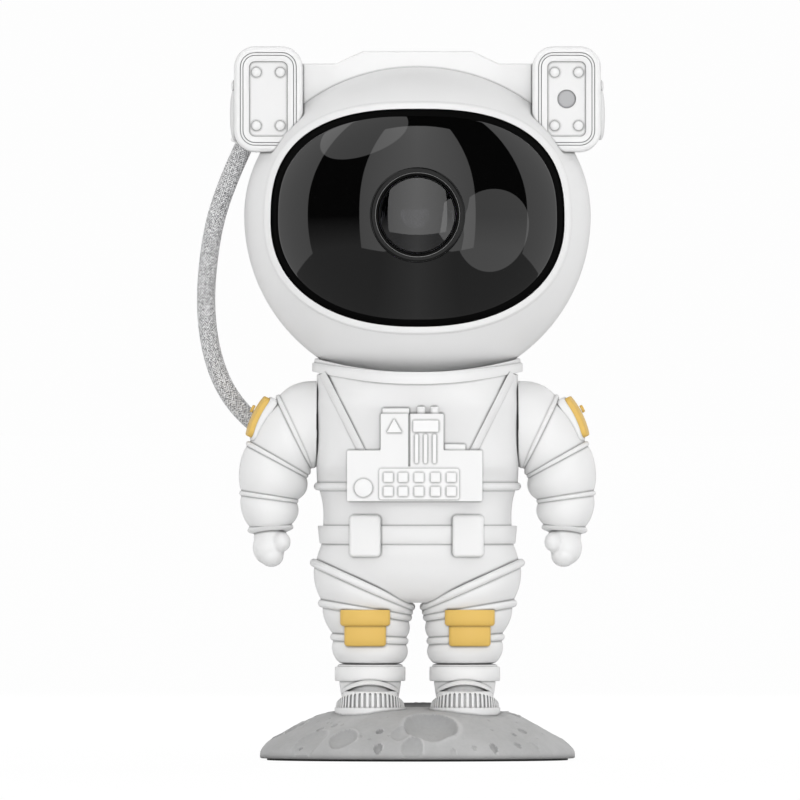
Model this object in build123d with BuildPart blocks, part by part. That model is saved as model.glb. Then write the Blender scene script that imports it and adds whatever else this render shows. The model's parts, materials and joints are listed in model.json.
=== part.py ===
from build123d import *
import os
from math import copysign, cos, hypot, pi, radians, sin, tan

os.makedirs("parts", exist_ok=True)

# A star and nebula projector in the shape of an astronaut who stands on a moon rock.
# Millimetres, +Z up, the front faces -Y, and the left side is the one at -X.
# The origin is the middle of the flat underside.

# ------------------------------------------------------------------ driving dimensions

# clearances
fit = 0.1  # between two pieces of one body
bore_fit = 0.06  # round a pin that something turns on
run_gap = 0.35  # between two bodies that move past each other
bowl_gap = 0.6  # between the head and the collar round its chin

# moon rock
pad_thick = 1.0
pad_inset = 2.2
rock_radius = 49.6
rock_skirt_top = 2.9
rock_top = 16.4
weight_radius = 35.5
weight_thick = 5.6
weight_ceiling = 8.0
main_crater_x = 4.6
main_crater_y = -36.0
main_crater_radius = 7.7
crater_lift = 0.5  # how far a crater's ball stands out of the rock, in radii

# boots
boot_x = 14.9
sole_z = 14.1
sole_width = 22.3
sole_length = 38.0
sole_toe = 6.0  # how far the sole's middle lies in front of the ankle
sole_thick = 2.4
toe_cap_top = 21.2
ankle_radius = 9.5
ankle_top = 24.9
cuff_radius = 11.1
cuff_top = 29.4
leg_bottom = 30.4

# trunk and legs
suit_wall = 2.0
trunk_top = 121.5
trunk_top_radius = 31.7
chest_z = 102.0
chest_half_width = 31.7
chest_half_depth = 25.0
chest_band_z = 86.3
chest_band_tube = 1.2
waist_z = 80.0
waist_half_width = 29.7
waist_half_depth = 22.4
belt_bottom = 68.2
belt_height = 5.6
belt_thick = 1.1
strap_thick = 1.0
strap_top_x = 30.6
strap_end_x = 17.5
strap_width = 2.5
hip_z = 62.3
hip_half_width = 32.2
hip_half_depth = 21.0
seat_z = 56.0
crotch_z = 50.0
leg_band_tube = 1.3
knee_z = 42.3
knee_pad_thick = 1.6
knee_pad_width = 15.7
knee_pad_height = 11.5
pouch_x = 16.5
pouch_width = 9.9
pouch_height = 13.1
pouch_front = 23.6  # how far the pouches' faces lie in front of the body's middle
pouch_z = 70.65

# neck, where the head is held by a magnet
deck_top = trunk_top - 13.0
deck_thick = 2.5
neck_bore_radius = 8.1
neck_cup_radius = 20.0
neck_lip = 1.0
magnet_radius = 10.0
magnet_thick = 3.0
magnet_top = deck_top + 7.3
magnet_gap = 1.0  # between the magnet and the outside of the head
collar_radius = trunk_top_radius + 1.5
collar_top = trunk_top + 3.5
collar_lip_top = trunk_top + 5.3
collar_lip_radius = trunk_top_radius + 0.6
collar_width = 4.0

# chest pack
pack_front = 33.4
pack_left = 22.2
pack_right = 20.4
pack_bottom = chest_band_z - 4.7
pack_step = pack_bottom + 16.0
pack_tower_left = 11.6
pack_tower_right = 8.2
pack_top = pack_bottom + 27.5
key_size = 3.0
key_lift = 0.9
knob_radius = 2.8

# arms
shoulder_z = trunk_top - 15.0
shoulder_boss_radius = 8.0
arm_face_x = chest_half_width + 0.7
axle_radius = 2.5
axle_reach = 10.0
axle_flange = 1.6
axle_flange_thick = 1.5
arm_depth = 11.6
arm_band_tube = 0.9
wrist_half_width = 4.8
wrist_half_depth = 5.2
hand_x = arm_face_x + 14.8
hand_bottom = shoulder_z - 45.5
patch_length = 13.9
patch_width = 12.0
patch_thick = 2.4
patch_stud_radius = 1.25
patch_stud_height = 1.2

# backpack
pack_half_width = 26.0
backpack_bottom = hip_z - 2.3
backpack_top = trunk_top - 3.5
backpack_corner = 6.0
backpack_back = 41.0
backpack_cover_thick = 2.0
backpack_wall = 2.0
backpack_floor = 28.0
board_front = 33.0
board_thick = 1.6
board_half_width = 20.0
board_bottom = backpack_bottom + 6.0
board_top = backpack_top - 6.0
button_radius = 4.0
button_pitch = 13.0
button_z = backpack_top - 18.0
button_proud = 1.4
button_travel = 0.8
button_flange = 1.2
button_flange_thick = 1.4
usb_width = 9.0
usb_height = 3.4
usb_z = backpack_bottom + 14.0
post_radius = 2.5
post_inset_x = 5.0
post_inset_z = 4.0

# head
head_radius = 54.6
head_z = magnet_top + magnet_gap + head_radius
crown_height = 47.3
head_wall = 2.0
visor_drop = 1.4  # the visor is widest this far under the middle of the head
visor_half_width = head_radius - 8.4
visor_rise = head_radius - 19.8
visor_fall = head_radius - 20.9
brow_fullness = 2.6
chin_fullness = 2.25
rim_width = 2.1
rim_proud = 0.6
band_width = 1.9
band_sink = 0.5
visor_thick = 1.4
ledge_width = 3.0
ledge_thick = 1.4
ledge_bite = 0.3  # how far the ledge reaches into the shell's wall
steel_pad_thick = 1.4

# ear boxes and the bar between them
ear_inner_x = head_radius - 18.5
ear_width = 21.6
ear_bottom = head_z + 20.1
ear_height = 33.1
ear_corner = 7.0
ear_front = 20.0
ear_back = 13.0
ear_wall = 2.0
ear_face_thick = 3.0
groove_inset = 1.9
groove_width = 1.1
groove_depth = 0.6
panel_side_inset = 4.7
panel_end_inset = 5.3
panel_corner = 3.0
panel_sink = 1.2
panel_thick = 0.8
rivet_radius = 1.7
rivet_lift = 0.5
rivet_half_span_x = 3.75
rivet_half_span_z = 8.35
side_pad_lift = 1.0
side_pad_width = 20.0
side_pad_height = 18.0
side_pad_corner = 3.0
side_pad_shift = 2.0  # its middle lies this far in front of the head's
side_pad_drop = 3.0
laser_window_radius = 3.0
laser_body_radius = 4.0
laser_body_length = 18.0
bar_top = head_z + crown_height + 4.5
bar_shoulder = bar_top - 3.9
bar_half_width = ear_inner_x - 18.9
bar_slope_end = ear_inner_x - 10.5
bar_front = 8.0
bar_back = 11.0
bar_wall = 2.0

# projection optics, all on an axis along Y through the middle of the head
bezel_radius = 14.9
bezel_proud = 1.0
bezel_flange = 2.4
bezel_flange_thick = 2.2
lens_radius = 12.1
lens_edge = 5.0
lens_bulge = 2.6
barrel_wall = 1.8
chassis_y = -18.0
chassis_thick = 2.0
window_x = 0.55 * head_radius
window_high = 0.22 * head_radius
window_low = 0.29 * head_radius
window_width = 0.33 * head_radius
window_height = 0.37 * head_radius
lamp_tube_radius = 13.0
lamp_tube_length = 12.0
condenser_radius = 10.8
led_board_radius = 15.0
led_board_thick = 1.6
sink_radius = 17.0
sink_base = 3.0
sink_fin_length = 12.0
sink_fin_thick = 1.2
sink_fin_count = 7
gear_module = 1.0
disc_teeth = 2 * int(0.44 * head_radius / gear_module)
pinion_teeth = 10
tooth_rise = 0.7
tooth_root = 1.1
disc_thick = 1.2
disc_drop = gear_module * disc_teeth / 4  # the disc's axle lies this far under the beam
disc_gap = 3.0  # between the disc and the plate that carries it
disc_pin_radius = 1.5
disc_pin_proud = 0.8
disc_hub_radius = 3.0
motor_radius = 7.5
motor_length = 14.0
motor_shaft_radius = 0.75
motor_angle = -30.0

# screws
screw_radius = 1.5
screw_head_radius = 2.8
screw_head_height = 1.8
boss_radius = 3.3
head_boss_x = 0.403 * head_radius
head_boss_low = 0.76 * head_radius
head_boss_high = 0.795 * crown_height
body_boss_x = 18.0
body_boss_low = 76.0
body_boss_high = 97.0

body_screw_seat = 13.0  # how far back the heads' undersides lie
body_screw_tip = -9.0
head_screw_seat = 14.0
head_screw_tip = -12.0
leg_screw_reach = 6.0

# hose from the left ear box to the backpack
hose_diameter = 5.8
hose_gland_radius = 4.6
hose_gland_length = 7.0
ear_outer_x = ear_inner_x + ear_width
hose_route = [
    # from the left ear box
    (-ear_outer_x + 3.0, 5.0, ear_bottom + 1.9),
    (-ear_outer_x - 3.8, 6.5, ear_bottom - 12.5),
    (-ear_outer_x - 8.2, 8.5, ear_bottom - 31.0),
    # to the backpack
    (-pack_half_width - 41.1, 11.5, backpack_top + 20.5),
    (-pack_half_width - 36.6, 15.6, backpack_top + 1.0),
    (-pack_half_width - 26.3, 20.8, backpack_top - 12.2),
    (-pack_half_width - 13.8, 27.2, backpack_top - 18.2),
    (-pack_half_width - 2.4, 31.4, backpack_top - 20.4),
]
hose_split = 2  # the run after this point is cut in half, where head and body meet


# ------------------------------------------------------------------ shared planes and forms

head_plane = Plane(origin=(0, 0, head_z), x_dir=(1, 0, 0), z_dir=(0, -1, 0))
visor_plane = Plane(origin=(0, 0, head_z - visor_drop), x_dir=(1, 0, 0), z_dir=(0, -1, 0))


def front_plane(y):
    """Upright plane at y that looks forward: its own x is X and its own y is Z."""
    return Plane(origin=(0, y, 0), x_dir=(1, 0, 0), z_dir=(0, -1, 0))


def section_between(inner, outer):
    """Cross-section of a left limb from its inner to its outer edge, and half its width."""
    span = hypot(outer[0] - inner[0], outer[1] - inner[1])
    across = ((outer[0] - inner[0]) / span, 0, (outer[1] - inner[1]) / span)
    along = (-across[2], 0, across[0])
    middle = ((inner[0] + outer[0]) / 2, 0, (inner[1] + outer[1]) / 2)
    return Plane(origin=middle, x_dir=across, z_dir=along), span / 2


def band(plane, half_width, half_depth, tube):
    """Round band that runs as an oval in the given plane."""
    with BuildPart() as ring:
        with BuildLine(plane) as path:
            Spline((half_width, 0), (0, half_depth), (-half_width, 0), (0, -half_depth), periodic=True)
        with BuildSketch(Plane(origin=path.wire() @ 0, z_dir=path.wire() % 0)):
            Circle(tube)
        sweep()
    return ring.part


def head_form(inset):
    """The head as a solid: a ball below its middle and a flatter crown above it."""
    with BuildPart() as form:
        with BuildSketch(head_plane):
            with BuildLine():
                CenterArc((0, 0), head_radius - inset, -90, 90)
                EllipticalCenterArc((0, 0), head_radius - inset, crown_height - inset, 0, arc_size=90)
                Line((0, crown_height - inset), (0, inset - head_radius))
            make_face()
        revolve(axis=Axis.Z)
    return form.part


def crown_form(inset):
    """The head's crown alone, down to its widest level."""
    with BuildPart() as form:
        with BuildSketch(head_plane):
            with BuildLine():
                EllipticalCenterArc((0, 0), head_radius - inset, crown_height - inset, 0, arc_size=90)
                Polyline((0, crown_height - inset), (0, 0), (head_radius - inset, 0))
            make_face()
        revolve(axis=Axis.Z)
    return form.part


def visor_prism(grow):
    """Prism along Y with the outline of the visor's black band, grown by an amount."""
    points = []
    for step in range(24):
        across, up = cos(2 * pi * step / 24), sin(2 * pi * step / 24)
        height, fullness = (visor_rise, brow_fullness) if up > 0 else (visor_fall, chin_fullness)
        x = (visor_half_width + grow) * copysign(abs(across) ** (2 / fullness), across)
        z = (height + grow) * copysign(abs(up) ** (2 / fullness), up)
        points.append((x, z))
    with BuildPart() as prism:
        with BuildSketch(visor_plane):
            with BuildLine():
                Spline(*points, periodic=True)
            make_face()
        extrude(amount=2 * head_radius)
    return prism.part


def trunk_form(grow):
    """The suit's trunk from the collar down to the crotch, grown by an amount."""
    belt_top = belt_bottom + belt_height
    rings = [
        (trunk_top, trunk_top_radius, trunk_top_radius),
        (chest_z, chest_half_width, chest_half_depth),
        (chest_band_z, chest_half_width, chest_half_depth - 0.6),
        (waist_z, waist_half_width, waist_half_depth),
        (belt_top, waist_half_width, waist_half_depth),
        (belt_bottom, waist_half_width, waist_half_depth),
        (hip_z, hip_half_width, hip_half_depth),
        (seat_z, hip_half_width - 2.5, hip_half_depth - 2.0),
        (crotch_z, hip_half_width - 9.0, hip_half_depth - 5.0),
    ]
    with BuildPart() as form:
        for height, half_width, half_depth in rings:
            with BuildSketch(Plane.XY.offset(height)):
                Ellipse(half_width + grow, half_depth + grow)
        loft(ruled=True)
    return form.part


def leg_form(grow):
    """The left leg of the suit from the hip down to the boot, grown by an amount."""
    rings = [
        (seat_z + 4.0, boot_x + 1.6, 15.0, 16.5),
        (crotch_z, boot_x + 1.5, 14.3, 15.4),
        (knee_z + 4.0, boot_x + 1.6, 13.2, 14.4),
        (knee_z - 1.0, boot_x + 1.4, 12.9, 13.8),
        (knee_z - 4.5, boot_x + 0.2, 11.5, 12.6),
        (leg_bottom + 3.0, boot_x, 10.7, 12.0),
        (leg_bottom, boot_x - 0.5, 9.4, 10.8),
    ]
    with BuildPart() as form:
        for height, x, half_width, half_depth in rings:
            with BuildSketch(Plane(origin=(-x, 0, height))):
                Ellipse(half_width + grow, half_depth + grow)
        loft(ruled=True)
    return form.part


def suit_form(grow):
    """Trunk and both legs as one solid, grown by an amount."""
    with BuildPart() as form:
        add(trunk_form(grow))
        add(leg_form(grow))
        mirror(leg_form(grow), about=Plane.YZ)
    return form.part


def pins_along_y(places, radius, start, end):
    """Group of round pins along Y between two depths, at (x, z) places."""
    with BuildPart() as pins:
        with BuildSketch(front_plane(end)):
            with Locations(*places):
                Circle(radius)
        extrude(amount=end - start)
    return pins.part


def screws_along_y(places, head_y, tip_y):
    """Screws whose heads look back, with the underside of the head at head_y."""
    with BuildPart() as screws:
        add(pins_along_y(places, screw_radius, tip_y, head_y))
        add(pins_along_y(places, screw_head_radius, head_y, head_y + screw_head_height))
        with BuildSketch(front_plane(head_y + screw_head_height)):
            with Locations(*places):
                Rectangle(2.6, 0.7)
                Rectangle(0.7, 2.6)
        extrude(amount=1.0, mode=Mode.SUBTRACT)
    return screws.part


def gear_outline(teeth):
    """Wheel outline with straight-sided teeth and backlash."""
    pitch_radius = teeth * gear_module / 2
    tip, root = pitch_radius + tooth_rise, pitch_radius - tooth_root
    points = []
    for tooth in range(teeth):
        middle = 2 * pi * tooth / teeth
        for radius, width in ((root, -0.34), (tip, -0.13), (tip, 0.13), (root, 0.34)):
            angle = middle + width * 2 * pi / teeth
            points.append((radius * cos(angle), radius * sin(angle)))
    with BuildSketch() as outline:
        with BuildLine():
            Polyline(*points, close=True)
        make_face()
    return outline.sketch


# ------------------------------------------------------------------ moon rock and boots

with BuildPart() as base_foot_pad:
    with BuildSketch():
        Circle(rock_radius - pad_inset)
    extrude(amount=pad_thick)
base_foot_pad.part.label = "base_foot_pad"
export_step(base_foot_pad.part, "parts/base_foot_pad.step")


def sole_prism(grow, bottom, top):
    """Both soles as upright prisms, grown by an amount, which also shape the seats in the rock."""
    with BuildPart() as soles:
        with BuildSketch(Plane.XY.offset(bottom)):
            with Locations((-boot_x, -sole_toe), (boot_x, -sole_toe)):
                SlotOverall(sole_length + 2 * grow, sole_width + 2 * grow, rotation=90)
        extrude(amount=top - bottom)
    return soles.part


def rock_height(x, y):
    """Rough height of the rock over a place, without its craters."""
    return rock_top - 0.6 - (rock_top - rock_skirt_top) * (hypot(x, y) / rock_radius) ** 4


craters = [
    # x, y and radius
    (-1.7, -45.0, 3.6),
    (-12.3, -44.0, 1.6),
    (24.0, -41.0, 1.4),
    (-24.0, -33.0, 4.6),
    (-33.0, -26.0, 7.0),
    (30.0, -22.0, 4.0),
    (12.0, 34.0, 6.0),
    (-22.0, 32.0, 4.5),
    (main_crater_x, main_crater_y, 0.9 * main_crater_radius),
]

leg_screw_places = [(-boot_x, 0), (boot_x, 0)]

with BuildPart() as moon_base:
    with BuildSketch(Plane.XZ):
        with BuildLine():
            Line((0, pad_thick), (rock_radius - 0.4, pad_thick))
            Line((rock_radius - 0.4, pad_thick), (rock_radius, rock_skirt_top))
            Spline(
                (rock_radius, rock_skirt_top),
                (rock_radius * 0.94, 6.0),
                (rock_radius * 0.79, 10.6),
                (rock_radius * 0.62, 14.2),
                (0, rock_top),
                tangents=[(-0.2, 1), (-1, 0)],
            )
            Line((0, rock_top), (0, pad_thick))
        make_face()
    revolve(axis=Axis.Z)
    # room for the weight
    with BuildSketch(Plane.XY.offset(pad_thick)):
        Circle(weight_radius + fit)
    extrude(amount=weight_ceiling - pad_thick, mode=Mode.SUBTRACT)
    # seats of the boots and holes of the long screws that hold them
    add(sole_prism(fit, sole_z, rock_top + 10), mode=Mode.SUBTRACT)
    with BuildSketch(Plane.XY.offset(pad_thick)):
        with Locations(*leg_screw_places):
            Circle(screw_radius + fit)
    extrude(amount=rock_top, mode=Mode.SUBTRACT)
    # craters
    for x, y, radius in craters:
        with Locations((x, y, rock_height(x, y) + crater_lift * radius)):
            Sphere(radius, mode=Mode.SUBTRACT)
moon_base.part.label = "moon_base"
export_step(moon_base.part, "parts/moon_base.step")

with BuildPart() as base_weight:
    with BuildSketch(Plane.XY.offset(weight_ceiling - fit - weight_thick)):
        Circle(weight_radius)
        with Locations(*leg_screw_places):
            Circle(screw_head_radius + 1.0, mode=Mode.SUBTRACT)
    extrude(amount=weight_thick)
    chamfer(base_weight.faces().sort_by(Axis.Z)[0].outer_wire().edges(), 0.6)
base_weight.part.label = "base_weight"
export_step(base_weight.part, "parts/base_weight.step")

with BuildPart() as left_boot:
    with BuildSketch(Plane(origin=(-boot_x, -sole_toe, sole_z))):
        SlotOverall(sole_length, sole_width, rotation=90)
    extrude(amount=sole_thick)
    # upper, from the sole to the ankle
    with BuildSketch(Plane(origin=(-boot_x, -sole_toe, sole_z + sole_thick))):
        Ellipse(sole_width / 2 - 0.7, sole_length / 2 - 0.7)
    with BuildSketch(Plane(origin=(-boot_x, -sole_toe * 0.8, toe_cap_top))):
        Ellipse(sole_width / 2 - 0.9, sole_length / 2 - 3.5)
    with BuildSketch(Plane(origin=(-boot_x, 0, ankle_top))):
        Ellipse(ankle_radius, ankle_radius + 1.5)
    loft(ruled=True)
    with BuildSketch(Plane(origin=(-boot_x, 0, ankle_top))):
        Ellipse(cuff_radius, cuff_radius + 1.4)
    extrude(amount=cuff_top - ankle_top)
    with BuildSketch(Plane(origin=(-boot_x, 0, cuff_top))):
        Ellipse(cuff_radius - 1.4, cuff_radius)
    extrude(amount=leg_bottom - cuff_top)
    with BuildSketch(Plane(origin=(-boot_x, 0, sole_z))):
        Circle(screw_radius + fit)
    extrude(amount=leg_bottom - sole_z, mode=Mode.SUBTRACT)
left_boot.part.label = "left_boot"
export_step(left_boot.part, "parts/left_boot.step")

with BuildPart() as right_boot:
    mirror(left_boot.part, about=Plane.YZ)
right_boot.part.label = "right_boot"
export_step(right_boot.part, "parts/right_boot.step")

with BuildPart() as leg_screws:
    with BuildSketch(Plane.XY.offset(weight_ceiling - fit - screw_head_height)):
        with Locations(*leg_screw_places):
            Circle(screw_head_radius)
    extrude(amount=screw_head_height)
    with BuildSketch(Plane.XY.offset(weight_ceiling - fit)):
        with Locations(*leg_screw_places):
            Circle(screw_radius)
    extrude(amount=leg_bottom + leg_screw_reach - weight_ceiling)
leg_screws.part.label = "leg_screws"
export_step(leg_screws.part, "parts/leg_screws.step")

# ------------------------------------------------------------------ suit: trunk and legs

body_boss_places = [
    (x, z) for x in (-body_boss_x, body_boss_x) for z in (body_boss_low, body_boss_high)
]
leg_floor = leg_bottom + leg_screw_reach + 2.0
axle_inner_x = chest_half_width - axle_reach
left_shoulder = Plane(origin=(-axle_inner_x, 0, shoulder_z), z_dir=(-1, 0, 0))
right_shoulder = Plane(origin=(axle_inner_x, 0, shoulder_z), z_dir=(1, 0, 0))
boss_length = arm_face_x - run_gap - axle_inner_x


def leg_bands(tube):
    """The three bands round each leg."""
    with BuildPart() as bands:
        for inner, outer, half_depth in (
            ((-2.6, 48.4), (-32.2, 61.6), hip_half_depth - 4.0),
            ((-3.4, 45.2), (-30.0, 49.2), 14.6),
            ((-4.6, 37.6), (-26.2, 38.6), 12.6),
        ):
            plane, half_width = section_between(inner, outer)
            add(band(plane, half_width, half_depth, tube))
        mirror(about=Plane.YZ)
    return bands.part


def chest_band(tube):
    """The band round the lower chest."""
    return band(Plane.XY.offset(chest_band_z), chest_half_width, chest_half_depth - 0.4, tube)


with BuildPart() as shoulder_bosses:
    for plane in (left_shoulder, right_shoulder):
        with BuildSketch(plane):
            Circle(shoulder_boss_radius)
        extrude(amount=boss_length)

with BuildPart() as suit_hollow:
    add(suit_form(-suit_wall))
    # each leg stays solid round its screw
    with Locations((0, 0, leg_floor)):
        Box(
            4 * trunk_top_radius,
            4 * trunk_top_radius,
            leg_floor,
            align=(Align.CENTER, Align.CENTER, Align.MAX),
            mode=Mode.SUBTRACT,
        )
    # the deck that carries the neck
    with BuildSketch(Plane.XY.offset(deck_top - deck_thick)):
        Circle(2 * trunk_top_radius)
    extrude(amount=deck_thick, mode=Mode.SUBTRACT)
    # screw posts and shoulder bosses
    add(pins_along_y(body_boss_places, boss_radius, -trunk_top_radius, trunk_top_radius), mode=Mode.SUBTRACT)
    add(shoulder_bosses.part, mode=Mode.SUBTRACT)

with BuildPart() as suit_body:
    add(suit_form(0))
    add(chest_band(chest_band_tube))
    add(leg_bands(leg_band_tube))
    add(shoulder_bosses.part)
    add(suit_hollow.part, mode=Mode.SUBTRACT)
    # bores of the neck, the arm axles and the leg screws
    with BuildSketch(Plane.XY.offset(deck_top)):
        Circle(neck_bore_radius)
    extrude(amount=-deck_thick, mode=Mode.SUBTRACT)
    for plane in (left_shoulder, right_shoulder):
        with BuildSketch(plane):
            Circle(axle_radius + fit)
        extrude(amount=boss_length, mode=Mode.SUBTRACT)
        with BuildSketch(plane):
            Circle(axle_radius + axle_flange + fit)
        extrude(amount=-(axle_flange_thick + fit), mode=Mode.SUBTRACT)
    with BuildSketch(Plane.XY.offset(leg_bottom)):
        with Locations(*leg_screw_places):
            Circle(screw_radius + fit)
    extrude(amount=leg_screw_reach + 1, mode=Mode.SUBTRACT)
    # screw holes from the back, with seats for the heads
    add(
        pins_along_y(body_boss_places, screw_radius + fit, body_screw_tip - 1, body_screw_seat),
        mode=Mode.SUBTRACT,
    )
    add(
        pins_along_y(body_boss_places, screw_head_radius + fit, body_screw_seat, trunk_top_radius),
        mode=Mode.SUBTRACT,
    )

with BuildPart() as body_front_shell:
    add(suit_body.part)
    split(bisect_by=Plane.XZ, keep=Keep.TOP)
body_front_shell.part.label = "body_front_shell"
export_step(body_front_shell.part, "parts/body_front_shell.step")

with BuildPart() as body_rear_shell:
    add(suit_body.part)
    split(bisect_by=Plane.XZ, keep=Keep.BOTTOM)
body_rear_shell.part.label = "body_rear_shell"
export_step(body_rear_shell.part, "parts/body_rear_shell.step")

with BuildPart() as body_screws:
    add(screws_along_y(body_boss_places, body_screw_seat, body_screw_tip))
body_screws.part.label = "body_screws"
export_step(body_screws.part, "parts/body_screws.step")

with BuildPart() as left_knee_pad:
    with BuildSketch(front_plane(0)):
        with Locations((-boot_x - 1.6, knee_z)):
            RectangleRounded(knee_pad_width, knee_pad_height, 2.0)
    extrude(amount=40)
    add(leg_form(knee_pad_thick), mode=Mode.INTERSECT)
    add(suit_form(fit), mode=Mode.SUBTRACT)
    add(leg_bands(leg_band_tube + fit), mode=Mode.SUBTRACT)
left_knee_pad.part.label = "left_knee_pad"
export_step(left_knee_pad.part, "parts/left_knee_pad.step")

with BuildPart() as right_knee_pad:
    mirror(left_knee_pad.part, about=Plane.YZ)
right_knee_pad.part.label = "right_knee_pad"
export_step(right_knee_pad.part, "parts/right_knee_pad.step")


def belt_ring(grow):
    """The belt as a solid oval disc, grown by an amount."""
    with BuildPart() as ring:
        with BuildSketch(Plane.XY.offset(belt_bottom + fit - grow)):
            Ellipse(waist_half_width + belt_thick + grow, waist_half_depth + belt_thick + grow)
        extrude(amount=belt_height - 2 * fit + 2 * grow)
    return ring.part


with BuildPart() as belt:
    add(belt_ring(0))
    # pouches
    with BuildSketch(front_plane(-waist_half_depth / 2)):
        with Locations((-pouch_x, pouch_z), (pouch_x, pouch_z)):
            RectangleRounded(pouch_width, pouch_height, 1.5)
    extrude(amount=pouch_front - waist_half_depth / 2)
    add(suit_form(fit), mode=Mode.SUBTRACT)
belt.part.label = "belt"
export_step(belt.part, "parts/belt.step")

with BuildPart() as neck_collar:
    with BuildSketch(Plane.XZ):
        with BuildLine():
            Polyline(
                (trunk_top_radius - collar_width, trunk_top),
                (collar_radius - 0.5, trunk_top),
                (collar_radius, trunk_top + 0.8),
                (collar_radius, collar_top),
                (collar_lip_radius, collar_top + 0.4),
                (collar_lip_radius, collar_lip_top),
                (trunk_top_radius - collar_width, collar_lip_top),
                close=True,
            )
        make_face()
    revolve(axis=Axis.Z)
    with Locations((0, 0, head_z)):
        Sphere(head_radius + bowl_gap, mode=Mode.SUBTRACT)
neck_collar.part.label = "neck_collar"
export_step(neck_collar.part, "parts/neck_collar.step")

with BuildPart() as harness_straps:
    with BuildSketch(front_plane(-8.0)):
        with BuildLine():
            Polyline(
                (-strap_top_x - strap_width / 2, trunk_top),
                (-strap_top_x + strap_width / 2, trunk_top),
                (-strap_end_x + strap_width / 2, pack_step + 2 * fit),
                (-strap_end_x - strap_width / 2, pack_step + 2 * fit),
                close=True,
            )
        make_face()
    extrude(amount=40)
    mirror(about=Plane.YZ)
    add(suit_form(strap_thick), mode=Mode.INTERSECT)
    add(suit_form(fit), mode=Mode.SUBTRACT)
harness_straps.part.label = "harness_straps"
export_step(harness_straps.part, "parts/harness_straps.step")

# ------------------------------------------------------------------ chest pack

with BuildPart() as chest_pack:
    with BuildSketch(front_plane(-10.0)):
        with BuildLine():
            Polyline(
                (-pack_left, pack_bottom),
                (pack_right, pack_bottom),
                (pack_right, pack_step),
                (pack_tower_right, pack_step),
                (pack_tower_right, pack_top),
                (-pack_tower_left, pack_top),
                (-pack_tower_left, pack_step),
                (-pack_left, pack_step),
                close=True,
            )
        make_face()
    extrude(amount=pack_front - 10.0)
    fillet(chest_pack.edges().filter_by(Axis.Y), 1.0)
    chamfer(chest_pack.faces().sort_by(Axis.Y)[0].edges(), 0.5)
    # low blocks and pipe stubs behind its top edge
    with BuildSketch(front_plane(-12.0)):
        with Locations((-6.8, pack_top)):
            Rectangle(8.4, 3.4)
        with Locations((1.15, pack_top), (5.35, pack_top)):
            Rectangle(2.6, 4.4)
        with Locations((pack_tower_right + 3.4, pack_step)):
            Rectangle(6.8, 3.8)
    extrude(amount=pack_front - 14.0)
    add(suit_form(fit), mode=Mode.SUBTRACT)
    add(chest_band(chest_band_tube + fit), mode=Mode.SUBTRACT)
chest_pack.part.label = "chest_pack"
export_step(chest_pack.part, "parts/chest_pack.step")

key_columns = (-9.0, -4.25, 0.5, 5.25, 10.0)
key_rows = (pack_bottom + 7.4, pack_bottom + 3.0)
slider_columns = (-0.3, 2.5, 5.3)

with BuildPart() as chest_keys:
    with BuildSketch(front_plane(-pack_front)):
        with Locations(*[(x, z) for x in key_columns for z in key_rows]):
            RectangleRounded(key_size, key_size, 0.5)
        with Locations((-17.0, pack_bottom + 4.2)):
            Circle(knob_radius)
        # screen and slider bars
        with Locations((2.6, pack_top - 3.9)):
            RectangleRounded(8.0, 3.6, 0.6)
        with Locations(*[(x, pack_bottom + 16.4) for x in slider_columns]):
            RectangleRounded(1.1, 9.0, 0.4)
        # arrow-shaped stud
        with BuildLine():
            Polyline(
                (-7.3, pack_top - 1.7),
                (-9.6, pack_top - 5.7),
                (-5.0, pack_top - 5.7),
                close=True,
            )
        make_face()
    extrude(amount=key_lift)
chest_keys.part.label = "chest_keys"
export_step(chest_keys.part, "parts/chest_keys.step")

# ------------------------------------------------------------------ neck

with BuildPart() as neck_cup:
    with BuildSketch(Plane.XY.offset(deck_top + run_gap)):
        Circle(neck_cup_radius)
    extrude(amount=14)
    with BuildSketch(Plane.XY.offset(deck_top + run_gap)):
        Circle(neck_bore_radius - bore_fit)
    extrude(amount=-(deck_thick + 2 * run_gap))
    # lip that snaps in under the deck
    with BuildSketch(Plane.XY.offset(deck_top - deck_thick - run_gap)):
        Circle(neck_bore_radius + neck_lip)
    extrude(amount=-1.6)
    with Locations((0, 0, head_z)):
        Sphere(head_radius + run_gap, mode=Mode.SUBTRACT)
    with BuildSketch(Plane.XY.offset(magnet_top - magnet_thick - fit)):
        Circle(magnet_radius + fit)
    extrude(amount=14, mode=Mode.SUBTRACT)
    with BuildSketch(Plane.XY.offset(deck_top - deck_thick - 4)):
        Circle(neck_bore_radius - 3.0)
    extrude(amount=6.5, mode=Mode.SUBTRACT)
neck_cup.part.label = "neck_cup"
export_step(neck_cup.part, "parts/neck_cup.step")

with BuildPart() as neck_magnet:
    with BuildSketch(Plane.XY.offset(magnet_top)):
        Circle(magnet_radius)
    extrude(amount=-magnet_thick)
neck_magnet.part.label = "neck_magnet"
export_step(neck_magnet.part, "parts/neck_magnet.step")

# ------------------------------------------------------------------ arms


def arm_section(inner, outer):
    """Cross-section of the left arm between two edges, each out from its face and up from its axle."""
    return section_between(
        (-arm_face_x - inner[0], shoulder_z + inner[1]),
        (-arm_face_x - outer[0], shoulder_z + outer[1]),
    )


arm_sections = {
    "root": arm_section((0, -13.9), (0, 12.7)),
    "shoulder": arm_section((1.0, -14.5), (6.2, 11.3)),
    "band_1": arm_section((1.6, -13.7), (11.5, 7.8)),
    "sleeve": arm_section((2.0, -15.3), (17.2, 0.9)),
    "band_2": arm_section((2.6, -16.8), (20.8, -7.0)),
    "elbow": arm_section((3.0, -20.5), (23.6, -15.0)),
    "band_3": arm_section((5.6, -24.8), (23.2, -22.3)),
    "forearm": arm_section((5.5, -28.5), (23.2, -27.9)),
    "cuff": arm_section((7.0, -32.7), (20.8, -33.7)),
}
arm_root_half = arm_sections["root"][1]


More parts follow.
